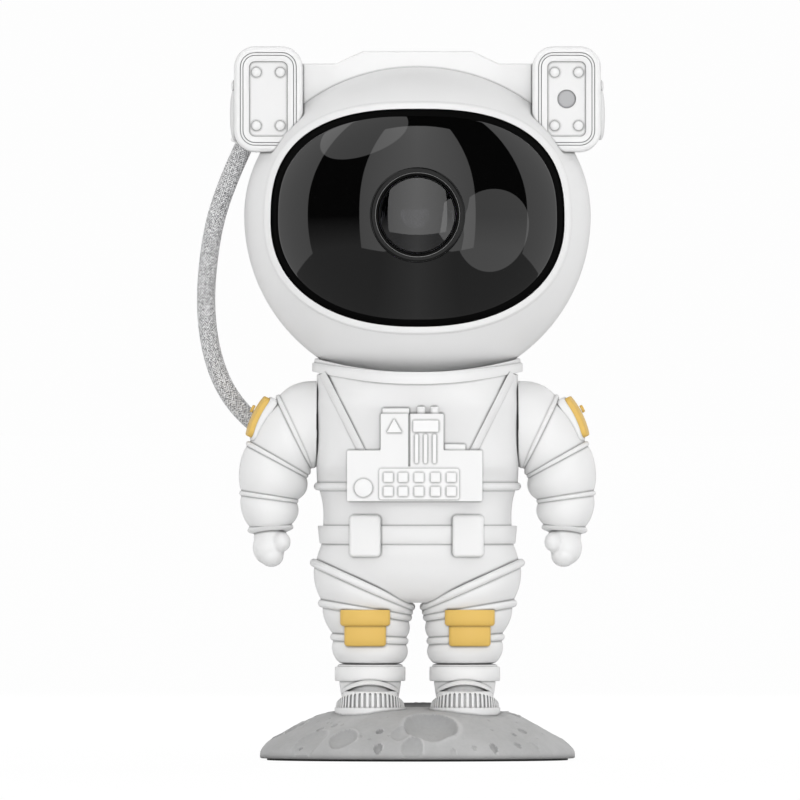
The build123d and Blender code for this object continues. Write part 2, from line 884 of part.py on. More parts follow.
def arm_half_depth(half_width):
    """Half the arm's size along Y where it is this wide."""
    return arm_depth * (half_width / arm_root_half) ** 0.35


def arm_puff(*names):
    """One puffed stretch of the sleeve through the named sections."""
    with BuildPart() as puff:
        for name in names:
            plane, half_width = arm_sections[name]
            with BuildSketch(plane):
                Ellipse(half_width, arm_half_depth(half_width))
        loft(ruled=True)
    return puff.part


cuff_plane, cuff_half = arm_sections["cuff"]
wrist_plane = cuff_plane.offset(-2.0)
axle_tip_x = arm_face_x + axle_reach

with BuildPart() as left_arm:
    add(arm_puff("root", "shoulder", "band_1"))
    add(arm_puff("band_1", "sleeve", "band_2"))
    add(arm_puff("band_2", "elbow", "band_3"))
    add(arm_puff("band_3", "forearm", "cuff"))
    for name in ("band_1", "band_2", "band_3"):
        plane, half_width = arm_sections[name]
        add(band(plane, half_width, arm_half_depth(half_width), arm_band_tube))
    # nothing of it reaches in past its flat face
    with BuildSketch(Plane.YZ.offset(-arm_face_x)):
        with Locations((0, shoulder_z)):
            Rectangle(4 * arm_root_half, 8 * arm_root_half)
    extrude(amount=axle_reach, mode=Mode.SUBTRACT)
    # bore for the axle and socket for the glove
    with BuildSketch(Plane(origin=(-arm_face_x, 0, shoulder_z), z_dir=(-1, 0, 0))):
        Circle(axle_radius + bore_fit)
    extrude(amount=axle_reach + run_gap, mode=Mode.SUBTRACT)
    with BuildSketch(wrist_plane):
        Ellipse(wrist_half_width + fit, wrist_half_depth + fit)
    extrude(amount=6, mode=Mode.SUBTRACT)
left_arm.part.label = "left_arm"
export_step(left_arm.part, "parts/left_arm.step")

with BuildPart() as right_arm:
    mirror(left_arm.part, about=Plane.YZ)
right_arm.part.label = "right_arm"
export_step(right_arm.part, "parts/right_arm.step")

with BuildPart() as left_hand:
    for plane in (wrist_plane.offset(fit), cuff_plane.offset(fit)):
        with BuildSketch(plane):
            Ellipse(wrist_half_width, wrist_half_depth)
    with BuildSketch(Plane(origin=(-hand_x + 0.3, -1.0, hand_bottom + 8.0))):
        Ellipse(wrist_half_width + 0.1, wrist_half_depth + 0.6)
    with BuildSketch(Plane(origin=(-hand_x, -2.0, hand_bottom + 4.0))):
        Ellipse(wrist_half_width + 0.2, wrist_half_depth + 0.9)
    with BuildSketch(Plane(origin=(-hand_x + 0.8, -3.0, hand_bottom))):
        Ellipse(wrist_half_width - 2.0, wrist_half_depth - 1.4)
    loft(ruled=True)
    # thumb
    with BuildSketch(Plane(origin=(-hand_x + 3.8, -5.4, hand_bottom + 10.0))):
        Circle(1.9)
    with BuildSketch(Plane(origin=(-hand_x + 5.0, -7.2, hand_bottom + 4.6))):
        Circle(1.8)
    loft()
left_hand.part.label = "left_hand"
export_step(left_hand.part, "parts/left_hand.step")

with BuildPart() as right_hand:
    mirror(left_hand.part, about=Plane.YZ)
right_hand.part.label = "right_hand"
export_step(right_hand.part, "parts/right_hand.step")

patch_top = (-arm_face_x - 14.8, shoulder_z + 7.7)
patch_end = (-arm_face_x - 20.8, shoulder_z - 4.8)
patch_run = hypot(patch_end[0] - patch_top[0], patch_end[1] - patch_top[1])
patch_down = (
    (patch_end[0] - patch_top[0]) / patch_run,
    0,
    (patch_end[1] - patch_top[1]) / patch_run,
)
patch_plane = Plane(
    origin=((patch_top[0] + patch_end[0]) / 2, 0, (patch_top[1] + patch_end[1]) / 2),
    x_dir=patch_down,
    z_dir=(patch_down[2], 0, -patch_down[0]),
)

with BuildPart() as left_shoulder_patch:
    with BuildSketch(patch_plane.offset(-patch_thick)):
        RectangleRounded(patch_length, patch_width, 2.5)
    extrude(amount=patch_thick)
    with BuildSketch(patch_plane):
        with Locations((-2.6, 0)):
            Circle(patch_stud_radius)
    extrude(amount=patch_stud_height)
    add(left_arm.part, mode=Mode.SUBTRACT)
left_shoulder_patch.part.label = "left_shoulder_patch"
export_step(left_shoulder_patch.part, "parts/left_shoulder_patch.step")

with BuildPart() as right_shoulder_patch:
    mirror(left_shoulder_patch.part, about=Plane.YZ)
right_shoulder_patch.part.label = "right_shoulder_patch"
export_step(right_shoulder_patch.part, "parts/right_shoulder_patch.step")

with BuildPart() as left_arm_axle:
    with BuildSketch(left_shoulder):
        Circle(axle_radius)
    extrude(amount=axle_tip_x - axle_inner_x)
    with BuildSketch(left_shoulder):
        Circle(axle_radius + axle_flange)
    extrude(amount=-axle_flange_thick)
left_arm_axle.part.label = "left_arm_axle"
export_step(left_arm_axle.part, "parts/left_arm_axle.step")

with BuildPart() as right_arm_axle:
    mirror(left_arm_axle.part, about=Plane.YZ)
right_arm_axle.part.label = "right_arm_axle"
export_step(right_arm_axle.part, "parts/right_arm_axle.step")

# ------------------------------------------------------------------ backpack

board_posts = [
    (x, z)
    for x in (post_inset_x - board_half_width, board_half_width - post_inset_x)
    for z in (board_bottom + post_inset_z, board_top - post_inset_z)
]
backpack_height = backpack_top - backpack_bottom
backpack_mid_z = (backpack_top + backpack_bottom) / 2
button_places = {
    "power_button": (-button_pitch, button_z),
    "nebula_button": (0, button_z),
    "star_button": (button_pitch, button_z),
}
cover_back = backpack_back + backpack_cover_thick
flange_back = backpack_back - run_gap
board_back = board_front + board_thick
plunger_front = flange_back - button_flange_thick
switch_back = plunger_front - button_travel - run_gap
hose_end = Vector(*hose_route[-1])
hose_end_direction = (hose_end - Vector(*hose_route[-2])).normalized()
lower_gland_plane = Plane(origin=hose_end, z_dir=hose_end_direction)

with BuildPart() as backpack_shell:
    with BuildSketch(front_plane(backpack_back)):
        with Locations((0, backpack_mid_z)):
            RectangleRounded(2 * pack_half_width, backpack_height, backpack_corner)
    extrude(amount=backpack_back - 8)
    add(suit_form(fit), mode=Mode.SUBTRACT)
    add(chest_band(chest_band_tube + fit), mode=Mode.SUBTRACT)
    add(leg_bands(leg_band_tube + fit), mode=Mode.SUBTRACT)
    add(belt_ring(fit), mode=Mode.SUBTRACT)
    with BuildSketch(front_plane(backpack_back)):
        with Locations((0, backpack_mid_z)):
            RectangleRounded(
                2 * (pack_half_width - backpack_wall),
                backpack_height - 2 * backpack_wall,
                backpack_corner - backpack_wall,
            )
    extrude(amount=backpack_back - backpack_floor, mode=Mode.SUBTRACT)
    # posts of the control board
    add(pins_along_y(board_posts, post_radius, backpack_floor - 0.5, board_front - fit))
    # hole for the hose's gland
    with BuildSketch(lower_gland_plane):
        Circle(hose_gland_radius + fit)
    extrude(amount=hose_gland_length + 0.5, mode=Mode.SUBTRACT)
    # the collar hangs over the top corner
    with Locations((0, 0, trunk_top)):
        Cylinder(collar_radius + fit, 12, mode=Mode.SUBTRACT)
backpack_shell.part.label = "backpack_shell"
export_step(backpack_shell.part, "parts/backpack_shell.step")

with BuildPart() as backpack_cover:
    with BuildSketch(front_plane(cover_back)):
        with Locations((0, backpack_mid_z)):
            RectangleRounded(2 * pack_half_width, backpack_height, backpack_corner)
    extrude(amount=backpack_cover_thick)
    fillet(backpack_cover.faces().sort_by(Axis.Y)[-1].edges(), 1.2)
    with BuildSketch(front_plane(cover_back)):
        with Locations(*button_places.values()):
            Circle(button_radius + bore_fit)
        with Locations((0, usb_z)):
            RectangleRounded(usb_width + 2 * fit, usb_height + 2 * fit, usb_height / 2)
    extrude(amount=backpack_cover_thick, mode=Mode.SUBTRACT)
backpack_cover.part.label = "backpack_cover"
export_step(backpack_cover.part, "parts/backpack_cover.step")

with BuildPart() as control_board:
    with BuildSketch(front_plane(board_back)):
        with Locations((0, (board_top + board_bottom) / 2)):
            Rectangle(2 * board_half_width, board_top - board_bottom)
    extrude(amount=board_thick)
    # switches under the buttons, a chip and a capacitor
    with BuildSketch(front_plane(switch_back)):
        with Locations(*button_places.values()):
            Rectangle(6, 6)
    extrude(amount=switch_back - board_back)
    with BuildSketch(front_plane(board_back + 1.4)):
        with Locations((-6, button_z - 13)):
            Rectangle(9, 7)
        with Locations((11, button_z - 16)):
            Circle(3)
    extrude(amount=1.4)
control_board.part.label = "control_board"
export_step(control_board.part, "parts/control_board.step")

with BuildPart() as usb_socket:
    with BuildSketch(front_plane(cover_back - 0.4)):
        with Locations((0, usb_z)):
            RectangleRounded(usb_width, usb_height, usb_height / 2 - fit)
    extrude(amount=cover_back - 0.4 - board_back)
    with BuildSketch(front_plane(cover_back - 0.4)):
        with Locations((0, usb_z)):
            RectangleRounded(usb_width - 0.8, usb_height - 0.8, usb_height / 2 - 0.5)
            RectangleRounded(usb_width - 2.6, 0.7, 0.3, mode=Mode.SUBTRACT)
    extrude(amount=6, mode=Mode.SUBTRACT)
usb_socket.part.label = "usb_socket"
export_step(usb_socket.part, "parts/usb_socket.step")

for name, place in button_places.items():
    with BuildPart() as button:
        with BuildSketch(front_plane(cover_back + button_proud)):
            with Locations(place):
                Circle(button_radius)
        extrude(amount=cover_back + button_proud - plunger_front)
        fillet(button.faces().sort_by(Axis.Y)[-1].edges(), 0.6)
        with BuildSketch(front_plane(flange_back)):
            with Locations(place):
                Circle(button_radius + button_flange)
        extrude(amount=button_flange_thick)
    button.part.label = name
    export_step(button.part, f"parts/{name}.step")

# ------------------------------------------------------------------ head shells and visor

head_boss_places = [
    (x, head_z + z) for x in (-head_boss_x, head_boss_x) for z in (-head_boss_low, head_boss_high)
]

with BuildPart() as head_hollow:
    add(head_form(head_wall))
    add(pins_along_y(head_boss_places, boss_radius, -head_radius, head_radius), mode=Mode.SUBTRACT)

with BuildPart() as head_case:
    add(head_form(0))
    add(head_hollow.part, mode=Mode.SUBTRACT)
    add(
        pins_along_y(head_boss_places, screw_radius + fit, head_screw_tip - 1, head_screw_seat),
        mode=Mode.SUBTRACT,
    )
    add(
        pins_along_y(head_boss_places, screw_head_radius + fit, head_screw_seat, head_radius),
        mode=Mode.SUBTRACT,
    )

with BuildPart() as visor_ledge:
    add(head_form(head_wall - ledge_bite))
    add(head_form(head_wall + ledge_thick), mode=Mode.SUBTRACT)
    add(visor_prism(rim_width + ledge_width), mode=Mode.INTERSECT)
    add(visor_prism(-band_width - ledge_width), mode=Mode.SUBTRACT)

with BuildPart() as head_front_shell:
    add(head_case.part)
    split(bisect_by=Plane.XZ, keep=Keep.TOP)
    add(visor_prism(rim_width), mode=Mode.SUBTRACT)
    add(visor_ledge.part)
head_front_shell.part.label = "head_front_shell"
export_step(head_front_shell.part, "parts/head_front_shell.step")

with BuildPart() as head_rear_shell:
    add(head_case.part)
    split(bisect_by=Plane.XZ, keep=Keep.BOTTOM)
head_rear_shell.part.label = "head_rear_shell"
export_step(head_rear_shell.part, "parts/head_rear_shell.step")

with BuildPart() as head_screws:
    add(screws_along_y(head_boss_places, head_screw_seat, head_screw_tip))
head_screws.part.label = "head_screws"
export_step(head_screws.part, "parts/head_screws.step")

ledge_front = head_wall - ledge_bite - fit  # how deep the pieces in the opening reach

with BuildPart() as visor_rim:
    add(head_form(-rim_proud))
    add(head_form(ledge_front), mode=Mode.SUBTRACT)
    add(visor_prism(rim_width - fit), mode=Mode.INTERSECT)
    add(visor_prism(0), mode=Mode.SUBTRACT)
visor_rim.part.label = "visor_rim"
export_step(visor_rim.part, "parts/visor_rim.step")

with BuildPart() as visor_gasket:
    add(head_form(band_sink))
    add(head_form(ledge_front), mode=Mode.SUBTRACT)
    add(visor_prism(-fit), mode=Mode.INTERSECT)
    add(visor_prism(-band_width), mode=Mode.SUBTRACT)
visor_gasket.part.label = "visor_gasket"
export_step(visor_gasket.part, "parts/visor_gasket.step")

with BuildPart() as visor:
    add(head_form(ledge_front - visor_thick))
    add(head_form(ledge_front), mode=Mode.SUBTRACT)
    add(visor_prism(-band_width - fit), mode=Mode.INTERSECT)
    with BuildSketch(head_plane):
        Circle(bezel_radius + fit)
    extrude(amount=2 * head_radius, mode=Mode.SUBTRACT)
visor.part.label = "visor"
export_step(visor.part, "parts/visor.step")

with BuildPart() as head_steel_pad:
    with BuildSketch(Plane.XY.offset(head_z - head_radius)):
        Circle(magnet_radius + 3)
    extrude(amount=8)
    add(head_form(head_wall + fit), mode=Mode.INTERSECT)
    add(head_form(head_wall + fit + steel_pad_thick), mode=Mode.SUBTRACT)
head_steel_pad.part.label = "head_steel_pad"
export_step(head_steel_pad.part, "parts/head_steel_pad.step")

# ------------------------------------------------------------------ lens, lamp and turning disc


def optic_plane(y):
    """Plane across the beam at y, centred on the beam and looking forward."""
    return Plane(origin=(0, y, head_z), x_dir=(1, 0, 0), z_dir=(0, -1, 0))


bezel_front = -(head_radius + bezel_proud)
flange_radius = bezel_radius + bezel_flange
flange_reach = flange_radius / (crown_height - ledge_front)  # its share of the crown's height there
flange_front = -(head_radius - ledge_front) * (1 - flange_reach**2) ** 0.5 + fit
flange_rear = flange_front + bezel_flange_thick
lens_back = flange_front - fit
lens_front = lens_back - lens_edge
barrel_radius = lens_radius + fit + barrel_wall
disc_back = chassis_y - disc_gap
disc_front = disc_back - disc_thick
barrel_rear = disc_front - 1.0
lamp_tube_end = chassis_y + chassis_thick + lamp_tube_length
disc_centre = (0, -disc_drop)
gear_distance = gear_module * (disc_teeth + pinion_teeth) / 2
motor_centre = (
    gear_distance * cos(radians(motor_angle)),
    gear_distance * sin(radians(motor_angle)) - disc_drop,
)

with BuildPart() as lens_bezel:
    with BuildSketch(optic_plane(flange_front)):
        Circle(bezel_radius)
    extrude(amount=flange_front - bezel_front)
    with BuildSketch(optic_plane(flange_rear)):
        Circle(flange_radius)
    extrude(amount=bezel_flange_thick)
    with BuildSketch(optic_plane(flange_rear)):
        Circle(lens_radius - 1.0)
    extrude(amount=20, mode=Mode.SUBTRACT)
    with BuildSketch(optic_plane(flange_front)):
        Circle(lens_radius + fit)
    extrude(amount=20, mode=Mode.SUBTRACT)
lens_bezel.part.label = "lens_bezel"
export_step(lens_bezel.part, "parts/lens_bezel.step")


def plano_convex_lens(radius, flat_y, edge, bulge):
    """Lens whose flat face lies at flat_y and whose round face looks forward."""
    round_radius = (radius**2 + bulge**2) / (2 * bulge)
    with BuildPart() as lens:
        with BuildSketch(optic_plane(flat_y)):
            Circle(radius)
        extrude(amount=edge + bulge)
        with Locations((0, flat_y - edge - bulge + round_radius, head_z)):
            Sphere(round_radius, mode=Mode.INTERSECT)
    return lens.part


with BuildPart() as projection_lens:
    add(plano_convex_lens(lens_radius, lens_back, lens_edge, lens_bulge))
projection_lens.part.label = "projection_lens"
export_step(projection_lens.part, "parts/projection_lens.step")

with BuildPart() as lens_barrel:
    with BuildSketch(optic_plane(barrel_rear)):
        Circle(barrel_radius)
        Circle(barrel_radius - barrel_wall, mode=Mode.SUBTRACT)
    extrude(amount=barrel_rear - flange_rear)
lens_barrel.part.label = "lens_barrel"
export_step(lens_barrel.part, "parts/lens_barrel.step")

with BuildPart() as optics_chassis:
    with BuildSketch(optic_plane(chassis_y + chassis_thick)):
        Circle(head_radius)
    extrude(amount=chassis_thick)
    add(head_form(head_wall + ledge_thick + fit), mode=Mode.INTERSECT)
    add(
        pins_along_y(head_boss_places, boss_radius + fit, -head_radius, 0),
        mode=Mode.SUBTRACT,
    )
    # windows that let air through
    with BuildSketch(optic_plane(chassis_y + chassis_thick)):
        with Locations(
            (-window_x, window_high),
            (window_x, window_high),
            (-window_x, -window_low),
        ):
            RectangleRounded(window_width, window_height, 3)
    extrude(amount=chassis_thick, mode=Mode.SUBTRACT)
    # lamp tube with the condenser's seat
    with BuildSketch(optic_plane(lamp_tube_end)):
        Circle(lamp_tube_radius)
    extrude(amount=lamp_tube_length)
    with BuildSketch(optic_plane(lamp_tube_end)):
        Circle(condenser_radius + fit)
    extrude(amount=lamp_tube_length + chassis_thick - 1.0, mode=Mode.SUBTRACT)
    with BuildSketch(optic_plane(lamp_tube_end)):
        Circle(condenser_radius - 1.0)
    extrude(amount=lamp_tube_length + chassis_thick, mode=Mode.SUBTRACT)
    # pin of the disc, and the motor's hole
    with BuildSketch(optic_plane(chassis_y)):
        with Locations(disc_centre):
            Circle(disc_hub_radius)
    extrude(amount=disc_gap - run_gap)
    with BuildSketch(optic_plane(chassis_y)):
        with Locations(disc_centre):
            Circle(disc_pin_radius)
    extrude(amount=disc_gap + disc_thick + disc_pin_proud)
    with BuildSketch(optic_plane(chassis_y + chassis_thick)):
        with Locations(motor_centre):
            Circle(motor_radius / 2)
    extrude(amount=chassis_thick, mode=Mode.SUBTRACT)
optics_chassis.part.label = "optics_chassis"
export_step(optics_chassis.part, "parts/optics_chassis.step")

with BuildPart() as condenser_lens:
    add(plano_convex_lens(condenser_radius, chassis_y + 5.5, 2.0, 2.2))
condenser_lens.part.label = "condenser_lens"
export_step(condenser_lens.part, "parts/condenser_lens.step")

with BuildPart() as led_board:
    with BuildSketch(optic_plane(lamp_tube_end + led_board_thick)):
        Circle(led_board_radius)
    extrude(amount=led_board_thick)
    with BuildSketch(optic_plane(lamp_tube_end)):
        Circle(3.2)
    extrude(amount=1.2)
    with BuildSketch(optic_plane(lamp_tube_end - 1.2)):
        Circle(2.4)
    extrude(amount=1.6, taper=25)
led_board.part.label = "led_board"
export_step(led_board.part, "parts/led_board.step")

sink_front = lamp_tube_end + led_board_thick
fin_pitch = 2 * sink_radius / sink_fin_count
with BuildPart() as heat_sink:
    with BuildSketch(optic_plane(sink_front + sink_base)):
        Circle(sink_radius)
    extrude(amount=sink_base)
    with BuildSketch(optic_plane(sink_front + sink_base)) as fin_section:
        with GridLocations(fin_pitch, 1, sink_fin_count, 1):
            Rectangle(sink_fin_thick, 2 * sink_radius)
        Circle(sink_radius, mode=Mode.INTERSECT)
    extrude(amount=-sink_fin_length)
heat_sink.part.label = "heat_sink"
export_step(heat_sink.part, "parts/heat_sink.step")

with BuildPart() as disc_motor:
    with BuildSketch(optic_plane(chassis_y + chassis_thick + motor_length)):
        with Locations(motor_centre):
            Circle(motor_radius)
    extrude(amount=motor_length)
    with BuildSketch(optic_plane(chassis_y + chassis_thick)):
        with Locations(motor_centre):
            Circle(motor_radius / 2 - fit)
    extrude(amount=chassis_thick / 2)
    with BuildSketch(optic_plane(chassis_y)):
        with Locations(motor_centre):
            Circle(motor_shaft_radius + bore_fit)
    extrude(amount=-(motor_length - 2), mode=Mode.SUBTRACT)
disc_motor.part.label = "disc_motor"
export_step(disc_motor.part, "parts/disc_motor.step")

with BuildPart() as motor_pinion:
    with BuildSketch(optic_plane(disc_back)):
        with Locations(motor_centre):
            add(gear_outline(pinion_teeth), rotation=motor_angle + 180 - 180 / pinion_teeth)
    extrude(amount=disc_thick)
    with BuildSketch(optic_plane(chassis_y + motor_length - 4)):
        with Locations(motor_centre):
            Circle(motor_shaft_radius)
    extrude(amount=motor_length - 4 + disc_gap + disc_thick)
motor_pinion.part.label = "motor_pinion"
export_step(motor_pinion.part, "parts/motor_pinion.step")

with BuildPart() as nebula_disc:
    with BuildSketch(optic_plane(disc_back)):
        with Locations(disc_centre):
            add(gear_outline(disc_teeth), rotation=motor_angle)
            Circle(disc_pin_radius + bore_fit, mode=Mode.SUBTRACT)
    extrude(amount=disc_thick)
nebula_disc.part.label = "nebula_disc"
export_step(nebula_disc.part, "parts/nebula_disc.step")

# ------------------------------------------------------------------ ear boxes and crossbar

ear_x = ear_inner_x + ear_width / 2
ear_z = ear_bottom + ear_height / 2
hose_start = Vector(*hose_route[0])
hose_start_direction = (Vector(*hose_route[1]) - hose_start).normalized()
upper_gland_plane = Plane(origin=hose_start, z_dir=-hose_start_direction)

with BuildPart() as ear_box:
    with BuildSketch(front_plane(-ear_front)):
        with Locations((-ear_x, ear_z)):
            RectangleRounded(ear_width, ear_height, ear_corner)
    extrude(amount=-(ear_front + ear_back))
    chamfer(ear_box.faces().sort_by(Axis.Y)[0].edges(), 0.5)
    # pad on the outer side
    with BuildSketch(Plane.YZ.offset(-ear_outer_x)):
        with Locations((-side_pad_shift, ear_z - side_pad_drop)):
            RectangleRounded(side_pad_width, side_pad_height, side_pad_corner)
    extrude(amount=side_pad_lift, both=True)
    # hollow
    with BuildSketch(front_plane(-ear_front + ear_face_thick)):
        with Locations((-ear_x, ear_z)):
            RectangleRounded(
                ear_width - 2 * ear_wall,
                ear_height - 2 * ear_wall,
                ear_corner - ear_wall,
            )
    extrude(amount=-(ear_front + ear_back - ear_face_thick - ear_wall), mode=Mode.SUBTRACT)
    # groove round the face, and the seat of its panel
    with BuildSketch(front_plane(-ear_front)):
        with Locations((-ear_x, ear_z)):
            RectangleRounded(
                ear_width - 2 * groove_inset,
                ear_height - 2 * groove_inset,
                ear_corner - groove_inset,
            )
            RectangleRounded(
                ear_width - 2 * (groove_inset + groove_width),
                ear_height - 2 * (groove_inset + groove_width),
                ear_corner - groove_inset - groove_width,
                mode=Mode.SUBTRACT,
            )
    extrude(amount=-groove_depth, mode=Mode.SUBTRACT)
    with BuildSketch(front_plane(-ear_front)):
        with Locations((-ear_x, ear_z)):
            RectangleRounded(
                ear_width - 2 * panel_side_inset,
                ear_height - 2 * panel_end_inset,
                panel_corner,
            )
    extrude(amount=-panel_sink, mode=Mode.SUBTRACT)
    add(head_form(-fit), mode=Mode.SUBTRACT)

with BuildPart() as left_ear_box:
    add(ear_box.part)
    # hole through which the hose leaves, with room for its gland
    with BuildSketch(upper_gland_plane):
        Circle(hose_diameter / 2 + fit)
    extrude(amount=-12, mode=Mode.SUBTRACT)
    with BuildSketch(upper_gland_plane):
        Circle(hose_gland_radius + fit)
    extrude(amount=hose_gland_length + fit, mode=Mode.SUBTRACT)
left_ear_box.part.label = "left_ear_box"
export_step(left_ear_box.part, "parts/left_ear_box.step")

with BuildPart() as right_ear_box:
    mirror(ear_box.part, about=Plane.YZ)
    with BuildSketch(front_plane(-ear_front)):
        with Locations((ear_x, ear_z)):
            Circle(laser_window_radius + fit)
    extrude(amount=-ear_face_thick, mode=Mode.SUBTRACT)
right_ear_box.part.label = "right_ear_box"
export_step(right_ear_box.part, "parts/right_ear_box.step")

rivet_places = [
    (x, z) for x in (-rivet_half_span_x, rivet_half_span_x) for z in (-rivet_half_span_z, rivet_half_span_z)
]
with BuildPart() as ear_panels:
    with BuildSketch(front_plane(-ear_front + panel_sink)):
        with Locations((-ear_x, ear_z), (ear_x, ear_z)):
            RectangleRounded(
                ear_width - 2 * (panel_side_inset + fit),
                ear_height - 2 * (panel_end_inset + fit),
                panel_corner - fit,
            )
        with Locations((ear_x, ear_z)):
            Circle(laser_window_radius + fit, mode=Mode.SUBTRACT)
    extrude(amount=panel_thick)
    with BuildSketch(front_plane(-ear_front + panel_sink - panel_thick)):
        for centre_x in (-ear_x, ear_x):
            with Locations(*[(centre_x + x, ear_z + z) for x, z in rivet_places]):
                Circle(rivet_radius)
    extrude(amount=rivet_lift)
ear_panels.part.label = "ear_panels"
export_step(ear_panels.part, "parts/ear_panels.step")

with BuildPart() as laser_window:
    with BuildSketch(front_plane(-ear_front + ear_face_thick)):
        with Locations((ear_x, ear_z)):
            Circle(laser_window_radius)
    extrude(amount=ear_face_thick - 0.6)
laser_window.part.label = "laser_window"
export_step(laser_window.part, "parts/laser_window.step")

with BuildPart() as laser_module:
    with BuildSketch(front_plane(-ear_front + ear_face_thick + fit)):
        with Locations((ear_x, ear_z)):
            Circle(laser_body_radius)
    extrude(amount=-laser_body_length)
    chamfer(laser_module.faces().sort_by(Axis.Y)[-1].edges(), 0.8)
laser_module.part.label = "laser_module"
export_step(laser_module.part, "parts/laser_module.step")


def bar_prism(inset, front, back):
    """Prism along Y with the crossbar's outline, inset at the top and the ends."""
    end_x = ear_inner_x - fit - inset
    with BuildPart() as prism:
        with BuildSketch(front_plane(back)):
            with BuildLine():
                Polyline(
                    (-end_x, head_z),
                    (-end_x, bar_shoulder - inset),
                    (-bar_slope_end, bar_shoulder - inset),
                    (-bar_half_width, bar_top - inset),
                    (bar_half_width, bar_top - inset),
                    (bar_slope_end, bar_shoulder - inset),
                    (end_x, bar_shoulder - inset),
                    (end_x, head_z),
                    close=True,
                )
            make_face()
        extrude(amount=back + front)
    return prism.part


with BuildPart() as crossbar:
    add(bar_prism(0, bar_front, bar_back))
    fillet(crossbar.edges().filter_by(Axis.Y).group_by(Axis.Z)[-1], 1.5)
    add(bar_prism(bar_wall, bar_front - bar_wall, bar_back - bar_wall), mode=Mode.SUBTRACT)
    add(crown_form(-fit), mode=Mode.SUBTRACT)
crossbar.part.label = "crossbar"
export_step(crossbar.part, "parts/crossbar.step")

# ------------------------------------------------------------------ hose


def corner_radii(points):
    """Largest tangent arcs that the runs of a route leave room for."""
    radii = []
    for before, corner, after in zip(points, points[1:], points[2:]):
        incoming, outgoing = corner - before, after - corner
        turn = radians(incoming.get_angle(outgoing))
        radii.append(0.45 * min(incoming.length, outgoing.length) / tan(turn / 2))
    return radii


def hose_tube(points):
    """Plain tube along a route of straight runs joined by arcs."""
    radii = corner_radii(points)
    with BuildPart() as tube:
        with BuildLine() as path:
            FilletPolyline(*points, radius=radii)
        with BuildSketch(Plane(origin=points[0], z_dir=points[1] - points[0])):
            Circle(hose_diameter / 2)
        sweep()
    length = path.wire().length
    expected = pi * (hose_diameter / 2) ** 2 * length
    print("radii", [round(r, 1) for r in radii], "length", round(length, 1), end=" ")
    print("volume", round(tube.part.volume, 1), "expected", round(expected, 1))
    return tube.part


route = [Vector(*point) for point in hose_route]
hose_middle = (route[hose_split] + route[hose_split + 1]) / 2

with BuildPart() as hose_upper:
    add(hose_tube(route[: hose_split + 1] + [hose_middle]))
hose_upper.part.label = "hose_upper"
export_step(hose_upper.part, "parts/hose_upper.step")

with BuildPart() as hose_lower:
    add(hose_tube([hose_middle] + route[hose_split + 1 :]))
hose_lower.part.label = "hose_lower"
export_step(hose_lower.part, "parts/hose_lower.step")

with BuildPart() as hose_upper_gland:
    with BuildSketch(upper_gland_plane):
        Circle(hose_gland_radius)
    extrude(amount=hose_gland_length)
hose_upper_gland.part.label = "hose_upper_gland"
export_step(hose_upper_gland.part, "parts/hose_upper_gland.step")

with BuildPart() as hose_lower_gland:
    with BuildSketch(lower_gland_plane):
        Circle(hose_gland_radius)
    extrude(amount=hose_gland_length)
hose_lower_gland.part.label = "hose_lower_gland"
export_step(hose_lower_gland.part, "parts/hose_lower_gland.step")
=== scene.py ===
"""Dresses the solids of an astronaut-shaped star projector: its skins, trims, finishes and stage."""

import json
from math import copysign, cos, hypot, pi, radians, sin, sqrt, tan

import bmesh
import bpy
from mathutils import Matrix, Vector, noise


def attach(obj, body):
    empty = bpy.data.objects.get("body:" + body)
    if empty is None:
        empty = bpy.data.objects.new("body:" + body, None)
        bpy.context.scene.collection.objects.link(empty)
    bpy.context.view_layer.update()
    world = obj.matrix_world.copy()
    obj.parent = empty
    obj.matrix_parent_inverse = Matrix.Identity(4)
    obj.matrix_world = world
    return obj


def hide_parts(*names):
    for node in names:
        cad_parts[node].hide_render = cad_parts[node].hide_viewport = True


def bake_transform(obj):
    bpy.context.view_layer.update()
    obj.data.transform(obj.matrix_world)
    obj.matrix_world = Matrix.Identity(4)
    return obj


bl_info = {
    "name": "Star projector",
    "version": (1, 0, 0),
    "blender": (4, 5, 0),
    "location": "3D View > Sidebar > Projector",
    "description": "Adds the visible pieces of an astronaut-shaped star projector",
    "category": "Object",
}

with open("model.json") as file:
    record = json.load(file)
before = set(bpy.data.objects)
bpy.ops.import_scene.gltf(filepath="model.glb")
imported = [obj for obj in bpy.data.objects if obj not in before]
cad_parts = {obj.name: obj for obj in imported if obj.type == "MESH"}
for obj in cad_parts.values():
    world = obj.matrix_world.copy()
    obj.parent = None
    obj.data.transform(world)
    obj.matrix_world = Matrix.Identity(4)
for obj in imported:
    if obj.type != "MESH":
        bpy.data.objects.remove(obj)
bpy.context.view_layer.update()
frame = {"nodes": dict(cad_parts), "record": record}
MM = 0.001


# ---------------------------------------------------------------- node trees


class Term:
    """A node's output in an expression: each operator adds one Math node."""

    def __init__(self, tree, socket):
        self.tree, self.socket = tree, socket

    def out(self, name):
        """Another output of the same node."""
        return Term(self.tree, self.socket.node.outputs[name])

    def math(self, operation, other=0.0, swapped=False):
        first, second = (other, self) if swapped else (self, other)
        return self.tree.node("ShaderNodeMath", {"operation": operation}, {0: first, 1: second})

    def clamped(self):
        """The value kept between 0 and 1."""
        return self.math("MAXIMUM", 0.0).math("MINIMUM", 1.0)

    def __add__(self, other):
        return self.math("ADD", other)

    def __sub__(self, other):
        return self.math("SUBTRACT", other)

    def __rsub__(self, other):
        return self.math("SUBTRACT", other, swapped=True)

    def __mul__(self, other):
        return self.math("MULTIPLY", other)

    def __truediv__(self, other):
        return self.math("DIVIDE", other)

    __radd__, __rmul__ = __add__, __mul__


